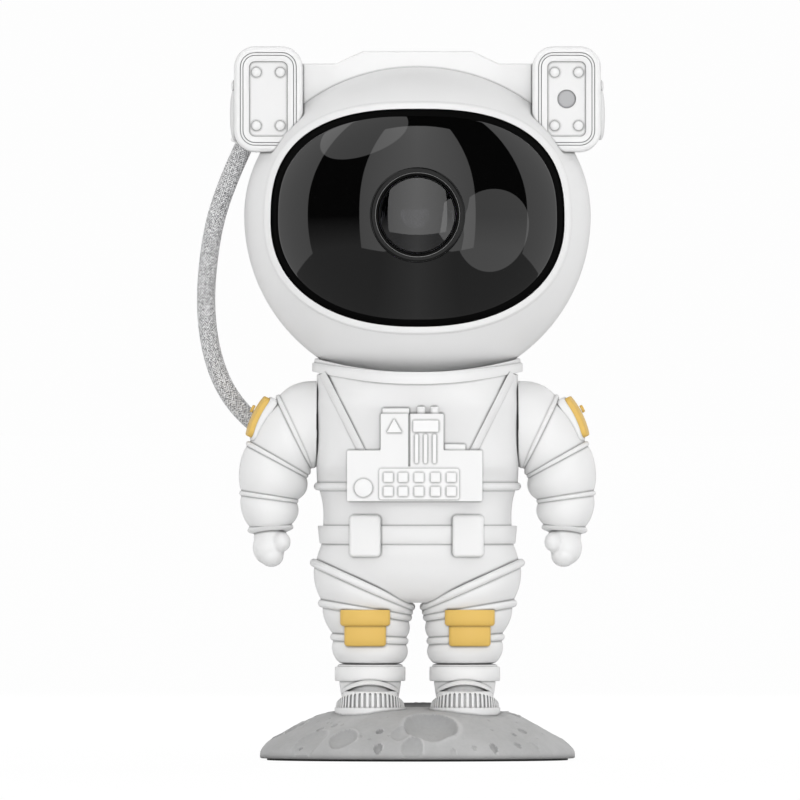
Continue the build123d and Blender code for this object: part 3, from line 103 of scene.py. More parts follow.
class Tree:
    """A shader or geometry tree, with one way to add a node."""

    def __init__(self, tree):
        self.tree = tree

    def node(self, kind, settings=None, sockets=None):
        """Adds a node: its settings come first, then the values or links of its inputs."""
        made = self.tree.nodes.new(kind)
        for key, value in (settings or {}).items():
            if key == "stops":
                ramp = made.color_ramp.elements
                while len(ramp) < len(value):
                    ramp.new(0.5)
                for element, (position, shade) in zip(ramp, value):
                    element.position = position
                    element.color = shade if len(shade) == 4 else (*shade, 1)
            else:
                setattr(made, key, value)
        for key, value in (sockets or {}).items():
            if isinstance(value, Term):
                self.tree.links.new(value.socket, made.inputs[key])
            elif value is not None:
                made.inputs[key].default_value = value
        return Term(self, made.outputs[0]) if made.outputs else made

    def place(self, name="Object"):
        return self.node("ShaderNodeTexCoord").out(name)

    def parts(self, vector):
        """The X, Y and Z of a vector, as outputs."""
        return self.node("ShaderNodeSeparateXYZ", {}, {"Vector": vector})

    def noise(self, vector, scale, detail=2.0, rough=0.5):
        sockets = {"Vector": vector, "Scale": scale, "Detail": detail, "Roughness": rough}
        return self.node("ShaderNodeTexNoise", {}, sockets).out("Fac")

    def ramp(self, factor, *stops):
        return self.node("ShaderNodeValToRGB", {"stops": stops}, {"Fac": factor})

    def mix(self, factor, first, second):
        made = self.node("ShaderNodeMix", {"data_type": "RGBA"})
        inputs = made.socket.node.inputs
        for socket, value in ((inputs[0], factor), (inputs[6], first), (inputs[7], second)):
            if isinstance(value, Term):
                self.tree.links.new(value.socket, socket)
            else:
                socket.default_value = value
        return Term(self, made.socket.node.outputs[2])

    def painted_shade_mask(self, reach):
        """How open the surface is, as a mask for painted shade: 1 where nothing stands near, less in seams
        and corners.
        """
        return self.node("ShaderNodeAmbientOcclusion", {"samples": 8}, {"Distance": reach}).out("AO")

    def bump(self, height, strength, distance):
        sockets = {"Height": height, "Strength": strength, "Distance": distance}
        return self.node("ShaderNodeBump", {}, sockets)

    def glow(self, strength):
        """White light of a strength."""
        return self.node("ShaderNodeEmission", {}, {"Color": grey(1.0), "Strength": strength})

    def end(self, skin):
        """Closes a material's tree."""
        self.node("ShaderNodeOutputMaterial", {}, {"Surface": skin})


def shader(name):
    """A new material's tree, without nodes."""
    material = bpy.data.materials.new(name)
    material.use_nodes = True
    material.node_tree.nodes.clear()
    return material, Tree(material.node_tree)


def surface(tree, **sockets):
    """Closes a material with a Principled shader."""
    named = {key.replace("_", " "): value for key, value in sockets.items()}
    tree.end(tree.node("ShaderNodeBsdfPrincipled", {}, named))


def grey(level):
    return (level, level, level, 1)


def toned(colour, share):
    """The colour made darker or lighter."""
    return tuple(min(channel * share, 1) for channel in colour[:3]) + (1,)


# ---------------------------------------------------------------- finishes


def moulded_plastic(name, colour, roughness=0.42):
    """Satin moulded plastic: faint mottling, a spark-eroded grain too fine to see from afar, and painted
    shade that darkens seams and creases.
    """
    material, tree = shader(name)
    place = tree.place()
    mottle = tree.noise(place, 70, 3)
    fine = tree.noise(place, 3200, 2)
    # painted shade: the colour darkens to 0.3 of itself where other surfaces stand within 0.8 mm, in seams
    # and creases
    near = tree.painted_shade_mask(0.0008)
    tone = tree.mix(mottle, toned(colour, 0.975), colour)
    surface(
        tree,
        Base_Color=tree.mix(near * near, toned(colour, 0.3), tone),
        Roughness=mottle * 0.1 + (roughness - 0.05),
        Normal=tree.bump(fine, 0.1, 0.00004),
        IOR=1.46,
    )
    return material


def moon_rock(name, colour):
    """Matt grey moulding with a pitted, dusty skin, painted shade in its hollows and crater floors, painted
    highlights on crater rims and a painted shadow on the ridge at the heels. Its mesh says where a crater
    gets painted shade or a painted rim highlight.
    """
    material, tree = shader(name)
    place = tree.place()
    clouds = tree.noise(place, 60, 5, 0.6)
    dust = tree.noise(place, 900, 4, 0.7)
    specks = tree.node("ShaderNodeTexVoronoi", {}, {"Vector": place, "Scale": 520.0}).out("Distance")
    # the first colour is painted shade for hollows, crater floors and the ridge at the heels; the second is a
    # painted highlight for crater rims
    painted_shade, rim = toned(colour, 0.25), grey(0.8)
    heels, top = 0.011, 0.0161  # where the painted shadow on the rock's top ridge at the heels begins, along Y and Z
    patches = tree.ramp(clouds * 0.7 + dust * 0.3, (0.35, (0, 0, 0)), (0.65, (1, 1, 1)))
    base = tree.mix(patches, toned(colour, 0.9), toned(colour, 1.1))
    # painted shade in hollows and corners, where the surface is less open
    base = tree.mix(tree.painted_shade_mask(0.003), painted_shade, base)
    # the mesh's relief attribute: painted crater shade below zero, painted rim highlight above zero
    relief = tree.node("ShaderNodeAttribute", {"attribute_name": "relief"}).out("Fac")
    base = tree.mix((relief * -1).clamped(), base, painted_shade)
    base = tree.mix(relief.clamped(), base, rim)
    spot = tree.parts(place)
    # painted shadow: a dark band on the rock's top ridge at the heels, towards the back, in the painted shade
    # colour
    heel_shadow_mask = ((spot.out("Y") - heels) * 400).clamped()
    ridge_shadow_mask = ((spot.out("Z") - top) * 2500).clamped()
    base = tree.mix(heel_shadow_mask * ridge_shadow_mask, base, painted_shade)
    surface(
        tree,
        Base_Color=base,
        Roughness=dust * 0.2 + 0.62,
        Normal=tree.bump(dust * 0.6 + specks * 0.4, 0.2, 0.0002),
        IOR=1.45,
    )
    return material


def dark_gloss(name, level, roughness, ior=1.5, shine=0.5):
    """Polished black plastic with the faint unevenness of a moulding."""
    material, tree = shader(name)
    place = tree.place()
    haze = tree.noise(place, 45, 3)
    surface(
        tree,
        Base_Color=tree.mix(haze, grey(level * 0.7), grey(level)),
        Roughness=haze * 0.02 + roughness,
        IOR=ior,
        Specular_IOR_Level=shine,
    )
    return material


def dark_satin(name, level, roughness, shine=0.5):
    """Matt black moulding with a fine grain."""
    material, tree = shader(name)
    place = tree.place()
    grain = tree.noise(place, 2400, 2)
    surface(
        tree,
        Base_Color=tree.mix(grain, grey(level * 0.8), grey(level * 1.2)),
        Roughness=grain * 0.1 + roughness,
        Normal=tree.bump(grain, 0.15, 0.00005),
        Specular_IOR_Level=shine,
    )
    return material


def clear_glass(name, tint, ior):
    """Lens glass with a faint bloom."""
    material, tree = shader(name)
    place = tree.place()
    bloom = tree.noise(place, 120, 2)
    surface(
        tree,
        Base_Color=tree.mix(bloom, tint, toned(tint, 1.05)),
        Roughness=bloom * 0.02 + 0.01,
        IOR=ior,
        Transmission_Weight=1.0,
    )
    return material


def bare_metal(name, colour, roughness):
    """Turned or pressed metal with fine scratches."""
    material, tree = shader(name)
    place = tree.place()
    stretched = tree.node("ShaderNodeMapping", {}, {"Vector": place, "Scale": (1, 1, 30)})
    scratch = tree.noise(stretched, 300, 4)
    surface(
        tree,
        Base_Color=tree.mix(scratch, toned(colour, 0.85), colour),
        Roughness=scratch * 0.15 + roughness,
        Normal=tree.bump(scratch, 0.1, 0.00005),
        Metallic=1.0,
    )
    return material


def circuit_board(name):
    """Green solder mask over copper tracks."""
    material, tree = shader(name)
    place = tree.place()
    sockets = {"Vector": place, "Scale": 120.0, "Mortar Size": 0.04}
    tracks = tree.node("ShaderNodeTexBrick", {}, sockets).out("Fac")
    cloth = tree.noise(place, 1500, 2)
    surface(
        tree,
        Base_Color=tree.mix(tracks, (0.012, 0.09, 0.035, 1), (0.03, 0.16, 0.06, 1)),
        Roughness=cloth * 0.1 + 0.35,
        Normal=tree.bump(tracks, 0.3, 0.00005),
    )
    return material


def nebula_film(name):
    """Clear disc printed with soft clouds."""
    material, tree = shader(name)
    place = tree.place()
    cloud = tree.noise(place, 90, 6, 0.6)
    stops = (
        (0.3, (0.02, 0.03, 0.2)), (0.5, (0.25, 0.05, 0.4)), (0.62, (0.1, 0.35, 0.6)), (0.75, (0.9, 0.8, 0.9)),
    )
    surface(tree, Base_Color=tree.ramp(cloud, *stops), Roughness=cloud * 0.1 + 0.1)
    return material


def woven_sleeve(name, colour):
    """Braided sleeve in a herringbone, mapped round the tube and along it in millimetres."""
    material, tree = shader(name)
    uv = tree.parts(tree.place("UV"))
    row_pitch, thread_pitch = 0.95, 0.3
    zigzag = (uv.out("X") * 7).math("PINGPONG", 0.5) * 3.4
    rows = ((uv.out("Y") + zigzag) * (2 * pi / row_pitch)).math("SINE")
    threads = ((uv.out("Y") * 0.4 - zigzag) * (2 * pi / thread_pitch)).math("SINE")
    speck = tree.noise(tree.place(), 1500, 3, 0.8)
    height = rows * 0.22 + threads * 0.05 + speck * 2.2 - 0.58
    stops = (
        (0.15, (0.06, 0.06, 0.06)), (0.42, colour[:3]), (0.62, (0.6, 0.6, 0.61)), (0.8, (0.92, 0.92, 0.92)),
    )
    surface(
        tree,
        Base_Color=tree.ramp(height, *stops),
        Roughness=speck * 0.2 + 0.4,
        Normal=tree.bump(height, 0.6, 0.0003),
    )
    return material


# ---------------------------------------------------------------- mesh building


def turns(count):
    """Angles of the steps once round."""
    return [2 * pi * step / count for step in range(count)]


def corners(outline):
    """Each point of a closed outline, between its neighbours."""
    return zip(outline[-1:] + outline[:-1], outline, outline[1:] + outline[:1])


def rounded(width, height, radius, centre=(0.0, 0.0), steps=7):
    """Rounded rectangle, anticlockwise."""
    points = []
    for quarter, (side, rise) in enumerate(((1, 1), (-1, 1), (-1, -1), (1, -1))):
        x = centre[0] + side * (width / 2 - radius)
        y = centre[1] + rise * (height / 2 - radius)
        for step in range(steps + 1):
            angle = pi / 2 * (quarter + step / steps)
            points.append((x + radius * cos(angle), y + radius * sin(angle)))
    return points


def inset(outline, amount):
    """The outline moved inwards by an amount, with mitred corners."""
    moved = []
    for before, here, after in corners(outline):
        first = (Vector(here) - Vector(before)).normalized()
        second = (Vector(after) - Vector(here)).normalized()
        inward = Vector((-first.y - second.y, first.x + second.x))
        scale = amount / max(1 + first.dot(second), 0.2)
        moved.append((here[0] + inward.x * scale, here[1] + inward.y * scale))
    return moved


def dense(outline, step):
    """The outline with more points on its long sides."""
    points = []
    for (x0, y0), (x1, y1) in zip(outline, outline[1:] + outline[:1]):
        pieces = max(1, int(hypot(x1 - x0, y1 - y0) / step))
        points += [(x0 + (x1 - x0) * k / pieces, y0 + (y1 - y0) * k / pieces) for k in range(pieces)]
    return points


def round_edge(back, front, radius, steps=5):
    """Pairs of inset and depth for a straight side that rolls over into the front face."""
    side = copysign(1, back - front)
    turned = [pi / 2 * step / steps for step in range(steps + 1)]
    return [(0, back)] + [(radius * (1 - cos(t)), front + side * radius * (1 - sin(t))) for t in turned]


def blended(table, steps):
    """Smooth run of values through the rows of a table."""
    rows = []
    for index in range(len(table) - 1):
        before = table[max(index - 1, 0)]
        after = table[min(index + 2, len(table) - 1)]
        for step in range(steps):
            t = step / steps
            row = []
            for p, a, b, n in zip(before, table[index], table[index + 1], after):
                bend = (2 * p - 5 * a + 4 * b - n) * t * t + (3 * a - p - 3 * b + n) * t ** 3
                row.append(0.5 * (2 * a + (b - p) * t + bend))
            rows.append(tuple(row))
    return rows + [tuple(table[-1])]


def powered(value, fullness):
    """The sine or cosine of a fuller oval: 2 is round, and more is squarer."""
    return copysign(abs(value) ** (2 / fullness), value)


def oval(inner, outer, half_depth, grow=0.0, fullness=2.2, count=80):
    """Ring round a limb that reaches from its inner to its outer edge, both (x, z)."""
    inner, outer = Vector((inner[0], 0, inner[1])), Vector((outer[0], 0, outer[1]))
    across = (outer - inner) / 2
    reach = across.length + grow
    across.normalize()
    ring = []
    for turn in turns(count):
        point = (inner + outer) / 2 + across * (reach * powered(cos(turn), fullness))
        point.y += (half_depth + grow) * powered(sin(turn), fullness)
        ring.append(point)
    return ring


class Shape:
    """Closed shells in millimetres that are gathered into one piece."""

    def __init__(self):
        self.points, self.faces = [], []

    def add(self, points, faces):
        base = len(self.points)
        self.points += [Vector(point) for point in points]
        self.faces += [[base + corner for corner in face] for face in faces]
        return self

    def join(self, other):
        return self.add(other.points, other.faces)

    def loft(self, rings, closed=False, flat_ends=False):
        """Skin over rings of the same count; the ends are closed with fans, or with flat faces."""
        count, points, faces = len(rings[0]), [Vector(p) for ring in rings for p in ring], []
        for index in range(len(rings) if closed else len(rings) - 1):
            a, b = index * count, (index + 1) % len(rings) * count
            faces += [(a + j, a + (j + 1) % count, b + (j + 1) % count, b + j) for j in range(count)]
        if flat_ends:
            faces += [range(count), range((len(rings) - 1) * count, len(rings) * count)]
        elif not closed:
            for first in (0, (len(rings) - 1) * count):
                points.append(sum(points[first:first + count], Vector()) / count)
                faces += [(len(points) - 1, first + j, first + (j + 1) % count) for j in range(count)]
        return self.add(points, faces)

    def prism(self, outline, profile):
        """Outline in the XZ plane, inset by the profile's pairs of inset and depth along Y."""
        rings = []
        for amount, y in profile:
            rings.append([(x, y, z) for x, z in inset(outline, amount)])
        return self.loft(rings, flat_ends=True)

    def lathe(self, profile, centre, axis="Y", closed=False, *, sides):
        """Turned form through pairs of radius and place along the axis."""
        rings = []
        for radius, along in profile:
            ring = []
            for turn in turns(sides):
                u, v = radius * cos(turn), radius * sin(turn)
                local = {"X": (along, u, v), "Y": (u, along, v), "Z": (u, v, along)}[axis]
                ring.append(Vector(centre) + Vector(local))
            rings.append(ring)
        return self.loft(rings, closed)

    def band(self, ring, radius):
        """Round cord laid along a closed ring."""
        count = len(ring)
        middle = sum(ring, Vector()) / count
        normal = (ring[0] - middle).cross(ring[count // 4] - middle).normalized()
        rings = []
        for index, point in enumerate(ring):
            along = (ring[(index + 1) % count] - ring[index - 1]).normalized()
            side = along.cross(normal)
            rings.append([point + radius * (cos(t) * normal + sin(t) * side) for t in turns(12)])
        return self.loft(rings, closed=True)

    def puff(self, first, last, swell, tuck):
        """Padded stretch that tucks in under the rolls at its two sections, each an inner edge, an outer
        edge and a half depth."""
        steps, rings = 20, []
        for step in range(steps + 1):
            t = step / steps
            inner, outer = (tuple(a + (b - a) * t for a, b in zip(first[k], last[k])) for k in (0, 1))
            depth = first[2] + (last[2] - first[2]) * t
            rings.append(oval(inner, outer, depth, (swell + tuck) * sin(pi * t) ** 0.5 - tuck))
        return self.loft(rings)

    def limb(self, sections, swells, tuck, grow, roll):
        """Padded stretches between the sections, with a roll round each section but the last."""
        for first, last, swell in zip(sections, sections[1:], swells):
            self.puff(first, last, swell, tuck)
        for inner, outer, depth in sections[:-1]:
            self.band(oval(inner, outer, depth, grow), roll)
        return self

    def ball(self, centre, radii, sides=40):
        """Ellipsoid."""
        rings = []
        for step in range(1, sides // 2):
            polar = pi * step / (sides // 2)
            ring = []
            for angle in turns(sides):
                local = (sin(polar) * cos(angle), sin(polar) * sin(angle), cos(polar))
                ring.append(Vector(centre) + Vector([r * c for r, c in zip(radii, local)]))
            rings.append(ring)
        return self.loft(rings)

    def mirrored(self):
        """The same shells on the other side of the middle plane."""
        other = Shape()
        other.points = [Vector((-p.x, p.y, p.z)) for p in self.points]
        other.faces = [list(face) for face in self.faces]
        return other

    def build(self, name, finish, sharp=38):
        """Makes the object, with its faces outwards and its hard edges kept."""
        mesh = bpy.data.meshes.new(name)
        mesh.from_pydata([point * MM for point in self.points], [], self.faces)
        work = bmesh.new()
        work.from_mesh(mesh)
        return closed_object(name, mesh, work, finish, sharp)

    def fit(self, name, body, *replaces, slot="white_plastic", sharp=38, finish=None):
        """Builds the piece in its slot's finish, or in another, and settles it."""
        return settle(self.build(name, FINISHES[finish or slot], sharp), body, slot, *replaces)


def new_object(name, data):
    thing = bpy.data.objects.new(name, data)
    bpy.context.scene.collection.objects.link(thing)
    return thing


def closed_object(name, mesh, work, finish, sharp):
    """Object of a worked mesh, with its faces outwards and its hard edges kept."""
    bmesh.ops.recalc_face_normals(work, faces=work.faces)
    work.to_mesh(mesh)
    work.free()
    mesh.shade_smooth()
    mesh.set_sharp_from_angle(angle=radians(sharp))
    mesh.materials.append(finish)
    return new_object(name, mesh)


def settle(piece, body, slot, *replaces):
    """Fixes a piece to its body and hides the solids it stands for."""
    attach(piece, body)
    if replaces:
        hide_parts(*replaces)
    return piece


def apply_modifiers(piece, finish):
    """Turns the modified object into a plain mesh of one finish."""
    bpy.context.view_layer.update()
    ready = piece.evaluated_get(bpy.context.evaluated_depsgraph_get())
    mesh = bpy.data.meshes.new_from_object(ready)
    piece.modifiers.clear()
    piece.data = mesh
    mesh.materials.clear()
    mesh.materials.append(finish)


def fused(piece, voxel, smooth):
    """Melts a piece's shells into one skin with soft creases."""
    finish = piece.data.materials[0]
    remesh = piece.modifiers.new("skin", "REMESH")
    remesh.mode, remesh.voxel_size = "VOXEL", voxel * MM
    relax = piece.modifiers.new("relax", "SMOOTH")
    relax.factor, relax.iterations = 0.5, smooth
    apply_modifiers(piece, finish)
    piece.data.shade_smooth()
    return piece


def geometry_tree(name, inputs):
    """Geometry tree with named inputs, and the Term of each."""
    group = bpy.data.node_groups.new(name, "GeometryNodeTree")
    group.interface.new_socket("Geometry", in_out="INPUT", socket_type="NodeSocketGeometry")
    group.interface.new_socket("Geometry", in_out="OUTPUT", socket_type="NodeSocketGeometry")
    for label, kind in inputs.items():
        group.interface.new_socket(label, in_out="INPUT", socket_type=kind)
    tree = Tree(group)
    return group, tree, tree.node("NodeGroupInput")


def run_tree(piece, group, **values):
    """Runs a geometry tree on a piece and keeps the plain mesh."""
    modifier = piece.modifiers.new(group.name, "NODES")
    modifier.node_group = group
    for item in group.interface.items_tree:
        if item.item_type == "SOCKET" and item.name in values:
            modifier[item.identifier] = values[item.name]
    apply_modifiers(piece, values["Finish"])


def repeat_tree():
    """Tree that sets a piece on each point of a mesh."""
    inputs = {"Piece": "NodeSocketObject", "Finish": "NodeSocketMaterial"}
    group, tree, given = geometry_tree("Repeat at points", inputs)
    model = tree.node("GeometryNodeObjectInfo", {}, {"Object": given.out("Piece")}).out("Geometry")
    sockets = {"Points": given.out("Geometry"), "Instance": model}
    placed = tree.node("GeometryNodeInstanceOnPoints", {}, sockets)
    real = tree.node("GeometryNodeRealizeInstances", {}, {"Geometry": placed})
    done = tree.node("GeometryNodeSetMaterial", {}, {"Geometry": real, "Material": given.out("Finish")})
    tree.node("NodeGroupOutput", {}, {"Geometry": done})
    return group


def repeat(pattern, places, name, body, slot="white_plastic"):
    """Settles one piece made of a pattern's copies on points."""
    model = pattern.build(name + "_model", FINISHES[slot])
    mesh = bpy.data.meshes.new(name)
    mesh.from_pydata([Vector(p) * MM for p in places], [], [])
    piece = new_object(name, mesh)
    run_tree(piece, repeat_tree(), Piece=model, Finish=FINISHES[slot])
    bpy.data.objects.remove(model)
    settle(piece, body, slot)


# ---------------------------------------------------------------- settings


def length(label, text, value):
    """A size in millimetres that a user may change."""
    return bpy.props.FloatProperty(name=label, description=text, default=value, min=0.0)


def colour(label, text, value):
    """A colour that a user may change."""
    return bpy.props.FloatVectorProperty(
        name=label, description=text, default=value, subtype="COLOR", size=4, min=0.0, max=1.0
    )


class ProjectorColours(bpy.types.PropertyGroup):
    """Colours of the mouldings."""

    white: colour("White", "Colour of the suit and the helmet", (0.8, 0.8, 0.8, 1))
    key: colour("Keys", "Colour of keys and buttons", (0.83, 0.83, 0.83, 1))
    # the panels' colour is a little darker than the white: painted shade for the recess they sit in
    trim: colour("Ear panels", "Colour of the panels on the ear boxes", (0.76, 0.76, 0.76, 1))
    yellow: colour("Yellow", "Colour of the knee and shoulder pads", (0.72, 0.47, 0.11, 1))
    rock: colour("Rock", "Colour of the moon rock", (0.41, 0.41, 0.41, 1))
    sleeve: colour("Sleeve", "Middle tone of the hose's braid", (0.46, 0.46, 0.47, 1))


class ProjectorSizes(bpy.types.PropertyGroup):
    """Sizes of the details, in millimetres."""

    band: length("Suit band", "Radius of the rolls round the trunk and legs", 1.3)
    arm_band: length("Arm band", "Radius of the rolls round the arms", 0.85)
    swell: length("Padding", "How far the padded stretches swell", 1.0)
    hose: length("Hose", "Diameter of the braided hose", 5.8)
    rivet: length("Rivet", "Radius of the rivets on the ear boxes", 1.65)
    seed: bpy.props.IntProperty(name="Rock seed", description="Changes the rock's small pits", default=7)
    roughness: length("Rock relief", "Height of the rock's unevenness", 0.35)


FINISHES = {}  # material of each slot


def sizes():
    return bpy.context.scene.projector_sizes


# ---------------------------------------------------------------- forms shared by the pieces

HEAD = (0.0, 0.0, 171.4)
HEAD_RADIUS, CROWN = 54.6, 47.3
VISOR_HALF_WIDTH, VISOR_DROP = 46.2, 1.4
VISOR_UPPER, VISOR_LOWER = (34.8, 2.6), (33.7, 2.25)  # height and fullness of each half


def on_head(x, rise, proud):
    """Point of the head's front, at x and a rise from its middle, lifted off by an amount."""
    height = (CROWN if rise > 0 else HEAD_RADIUS) + proud
    left = 1 - (x / (HEAD_RADIUS + proud)) ** 2 - (rise / height) ** 2
    return Vector((x, -(HEAD_RADIUS + proud) * sqrt(max(left, 0)), HEAD[2] + rise))


def visor_ring(grow, proud, count=160):
    """Ring on the head along the visor's outline, grown by an amount and lifted off."""
    ring = []
    for turn in turns(count):
        height, fullness = VISOR_UPPER if sin(turn) > 0 else VISOR_LOWER
        x = (VISOR_HALF_WIDTH + grow) * powered(cos(turn), fullness)
        rise = (height + grow) * powered(sin(turn), fullness)
        ring.append(on_head(x, rise - VISOR_DROP, proud))
    return ring


TRUNK = [
    # height, half width, half depth
    (121.3, 31.7, 31.6),
    (117.0, 31.75, 30.9),
    (112.0, 31.75, 29.2),
    (107.0, 31.75, 27.3),
    (102.0, 31.75, 25.8),
    (97.0, 31.8, 25.1),
    (92.0, 31.8, 24.8),
    (87.5, 31.6, 24.5),
    (86.0, 31.2, 24.1),
    (84.5, 30.7, 23.6),
    (81.0, 29.9, 22.8),
    (77.0, 29.6, 22.5),
    (72.0, 29.8, 22.5),
    (68.2, 30.2, 22.5),
    (65.0, 31.3, 22.2),
    (62.0, 31.9, 21.4),
    (58.0, 31.0, 20.2),
    (54.0, 27.0, 18.0),
    (51.0, 20.0, 15.0),
    (49.6, 12.0, 11.0),
]


def trunk_fullness(z):
    """How square the trunk's section is: more so between the arms."""
    arm_low, arm_high, plain, more = 87.5, 117.5, 2.25, 0.9
    share = max(0.0, min(1.0, (z - arm_low) / 6, (arm_high - z) / 7))
    return plain + more * share * share * (3 - 2 * share)


def trunk_size(z):
    """Half width and half depth of the trunk at a height."""
    for above, below in zip(TRUNK, TRUNK[1:]):
        if z >= below[0]:
            t = (above[0] - z) / (above[0] - below[0])
            return tuple(a + (b - a) * t for a, b in zip(above[1:], below[1:]))
    return TRUNK[-1][1:]


def trunk_ring(z, grow):
    wide, deep = trunk_size(z)
    return oval((-wide, z), (wide, z), deep, grow, trunk_fullness(z), 120)


def on_trunk(x, z, proud):
    """Point of the trunk's front, lifted off by an amount."""
    wide, deep = trunk_size(z)
    share, fullness = min(abs(x / (wide + proud)), 1), trunk_fullness(z)
    return Vector((x, -(deep + proud) * (1 - share ** fullness) ** (1 / fullness), z))


# sections of the left leg and the left arm from the top down: inner edge, outer edge, half depth
LEG = [
    ((-1.9, 48.2), (-32.7, 62.2), 17.6),
    ((-2.9, 44.9), (-30.2, 49.4), 15.2),
    ((-4.0, 37.5), (-26.3, 38.8), 13.0),
    ((-4.7, 30.3), (-24.8, 30.3), 12.0),
]
SHOULDER = [
    ((-31.85, 92.4), (-31.85, 119.4), 11.6),
    ((-32.7, 91.9), (-36.2, 119.1), 11.7),
    ((-33.5, 92.0), (-40.4, 117.5), 11.6),
]
ARM = [
    ((-33.6, 92.4), (-43.9, 114.5), 11.3),
    ((-35.0, 89.5), (-53.4, 99.7), 10.6),
    ((-38.1, 81.6), (-55.5, 84.1), 10.0),
    ((-39.6, 74.0), (-52.8, 73.0), 9.2),
]


# ---------------------------------------------------------------- operators


class PROJECTOR_OT_finishes(bpy.types.Operator):
    """Makes the finishes and gives one to every solid"""

    bl_idname = "projector.finishes"
    bl_label = "Finishes"

    def execute(self, context):
        tones = context.scene.projector_colours
        for name, make, *values in (
            ("white_plastic", moulded_plastic, tuple(tones.white)),
            ("white_keys", moulded_plastic, tuple(tones.key), 0.38),
            # ear panels: a little darker than the white, as painted shade of their recess
            ("silver_trim", moulded_plastic, tuple(tones.trim), 0.4),
            ("yellow_plastic", moulded_plastic, tuple(tones.yellow), 0.45),
            ("rock_plastic", moon_rock, tuple(tones.rock)),
            ("black_plastic", dark_gloss, 0.005, 0.1, 1.5, 0.22),
            ("visor_plastic", dark_gloss, 0.002, 0.015, 1.55),
            ("clear_glass", clear_glass, (0.8, 0.82, 0.84, 1), 1.6),
            ("coated_glass", clear_glass, (0.03, 0.03, 0.035, 1), 1.72),
            ("seal", dark_satin, 0.0015, 0.6, 0.03),
            ("dark_steel", bare_metal, grey(0.25), 0.35),
            ("laser_glass", moulded_plastic, (0.41, 0.41, 0.42, 1), 0.22),
            ("film", nebula_film),
            ("nylon", moulded_plastic, (0.8, 0.8, 0.75, 1), 0.5),
            ("steel", bare_metal, grey(0.6), 0.28),
            ("aluminium", bare_metal, (0.78, 0.78, 0.79, 1), 0.3),
            ("brass", bare_metal, (0.72, 0.55, 0.25, 1), 0.25),
            ("board", circuit_board),
            ("rubber", dark_satin, 0.02, 0.75),
            ("braid", woven_sleeve, tuple(tones.sleeve)),
        ):
            FINISHES[name] = make(name, *values)
        for entry in frame["record"]["subparts"]:
            mesh = frame["nodes"][entry["node"]].data
            mesh.materials.clear()
            mesh.materials.append(FINISHES[entry["material_slot"]])
        frame["nodes"]["hose_upper_gland"].data.materials[0] = FINISHES["white_plastic"]
        return {"FINISHED"}


HOSE_ROUTE = [
    (-0.0547, 0.0050, 0.1934),
    (-0.0615, 0.0065, 0.1790),
    (-0.0659, 0.0085, 0.1605),
    (-0.0671, 0.0115, 0.1385),
    (-0.0626, 0.0156, 0.1190),
    (-0.0523, 0.0208, 0.1058),
    (-0.0398, 0.0272, 0.0998),
    (-0.0284, 0.0314, 0.0976),
]


def hose_line():
    """Points along the smooth line that the hose follows."""
    curve = bpy.data.curves.new("hose_line", "CURVE")
    curve.dimensions, curve.resolution_u = "3D", 24
    spline = curve.splines.new("NURBS")
    spline.points.add(len(HOSE_ROUTE) - 1)
    for point, place in zip(spline.points, HOSE_ROUTE):
        point.co = (*place, 1)
    spline.order_u = 3
    spline.use_endpoint_u = True
    holder = new_object("hose_line", curve)
    bpy.context.view_layer.update()
    mesh = bpy.data.meshes.new_from_object(holder)
    bpy.data.objects.remove(holder)
    return [vertex.co.copy() for vertex in mesh.vertices]


def braided_tube(name, path, diameter):
    """Tube along a path, with its own map: round the tube, and along it in millimetres."""
    sides, along, rings = 32, 0.0, []
    side = (path[1] - path[0]).normalized().orthogonal().normalized()
    for index, point in enumerate(path):
        ahead = (path[min(index + 1, len(path) - 1)] - path[max(index - 1, 0)]).normalized()
        side = (side - ahead * side.dot(ahead)).normalized()
        lift = ahead.cross(side)
        if index:
            along += (point - path[index - 1]).length
        ring = [point + diameter / 2 * (cos(t) * side + sin(t) * lift) for t in turns(sides)]
        rings.append((ring, along / MM))
    work = bmesh.new()
    uv = work.loops.layers.uv.new("sleeve")
    rows = [[work.verts.new(p) for p in ring] for ring, _ in rings]
    for index in range(len(rows) - 1):
        for step in range(sides):
            square = ((step, index), (step + 1, index), (step + 1, index + 1), (step, index + 1))
            face = work.faces.new([rows[row][u % sides] for u, row in square])
            for loop, (u, row) in zip(face.loops, square):
                loop[uv].uv = (u / sides, rings[row][1])
    for row in (rows[0], rows[-1]):
        work.faces.new(row)
    return closed_object(name, bpy.data.meshes.new(name), work, FINISHES["braid"], 50)


class PROJECTOR_OT_hose(bpy.types.Operator):
    """Adds the braided hose from the left ear box to the backpack"""

    bl_idname = "projector.hose"
    bl_label = "Hose"

    def execute(self, context):
        points = hose_line()
        runs = [(b - a).length for a, b in zip(points, points[1:])]
        half, passed, cut = sum(runs) / 2, 0.0, 0
        while passed < half:
            passed += runs[cut]
            cut += 1
        thick = sizes().hose * MM
        upper, lower = points[:cut + 1], points[cut:][::-1]
        middle = tuple(points[cut])
        for name, path, bodies, ends in (
            ("braided_hose_upper", upper, ("neck", "head"), (middle, tuple(points[0]))),
            ("braided_hose_lower", lower, ("torso", "neck"), (tuple(points[-1]), middle)),
        ):
            tube = braided_tube(name, path, thick)
            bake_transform(tube)
            run = sum((b - a).length for a, b in zip(path, path[1:]))
            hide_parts(name.replace("braided_", ""))
        return {"FINISHED"}


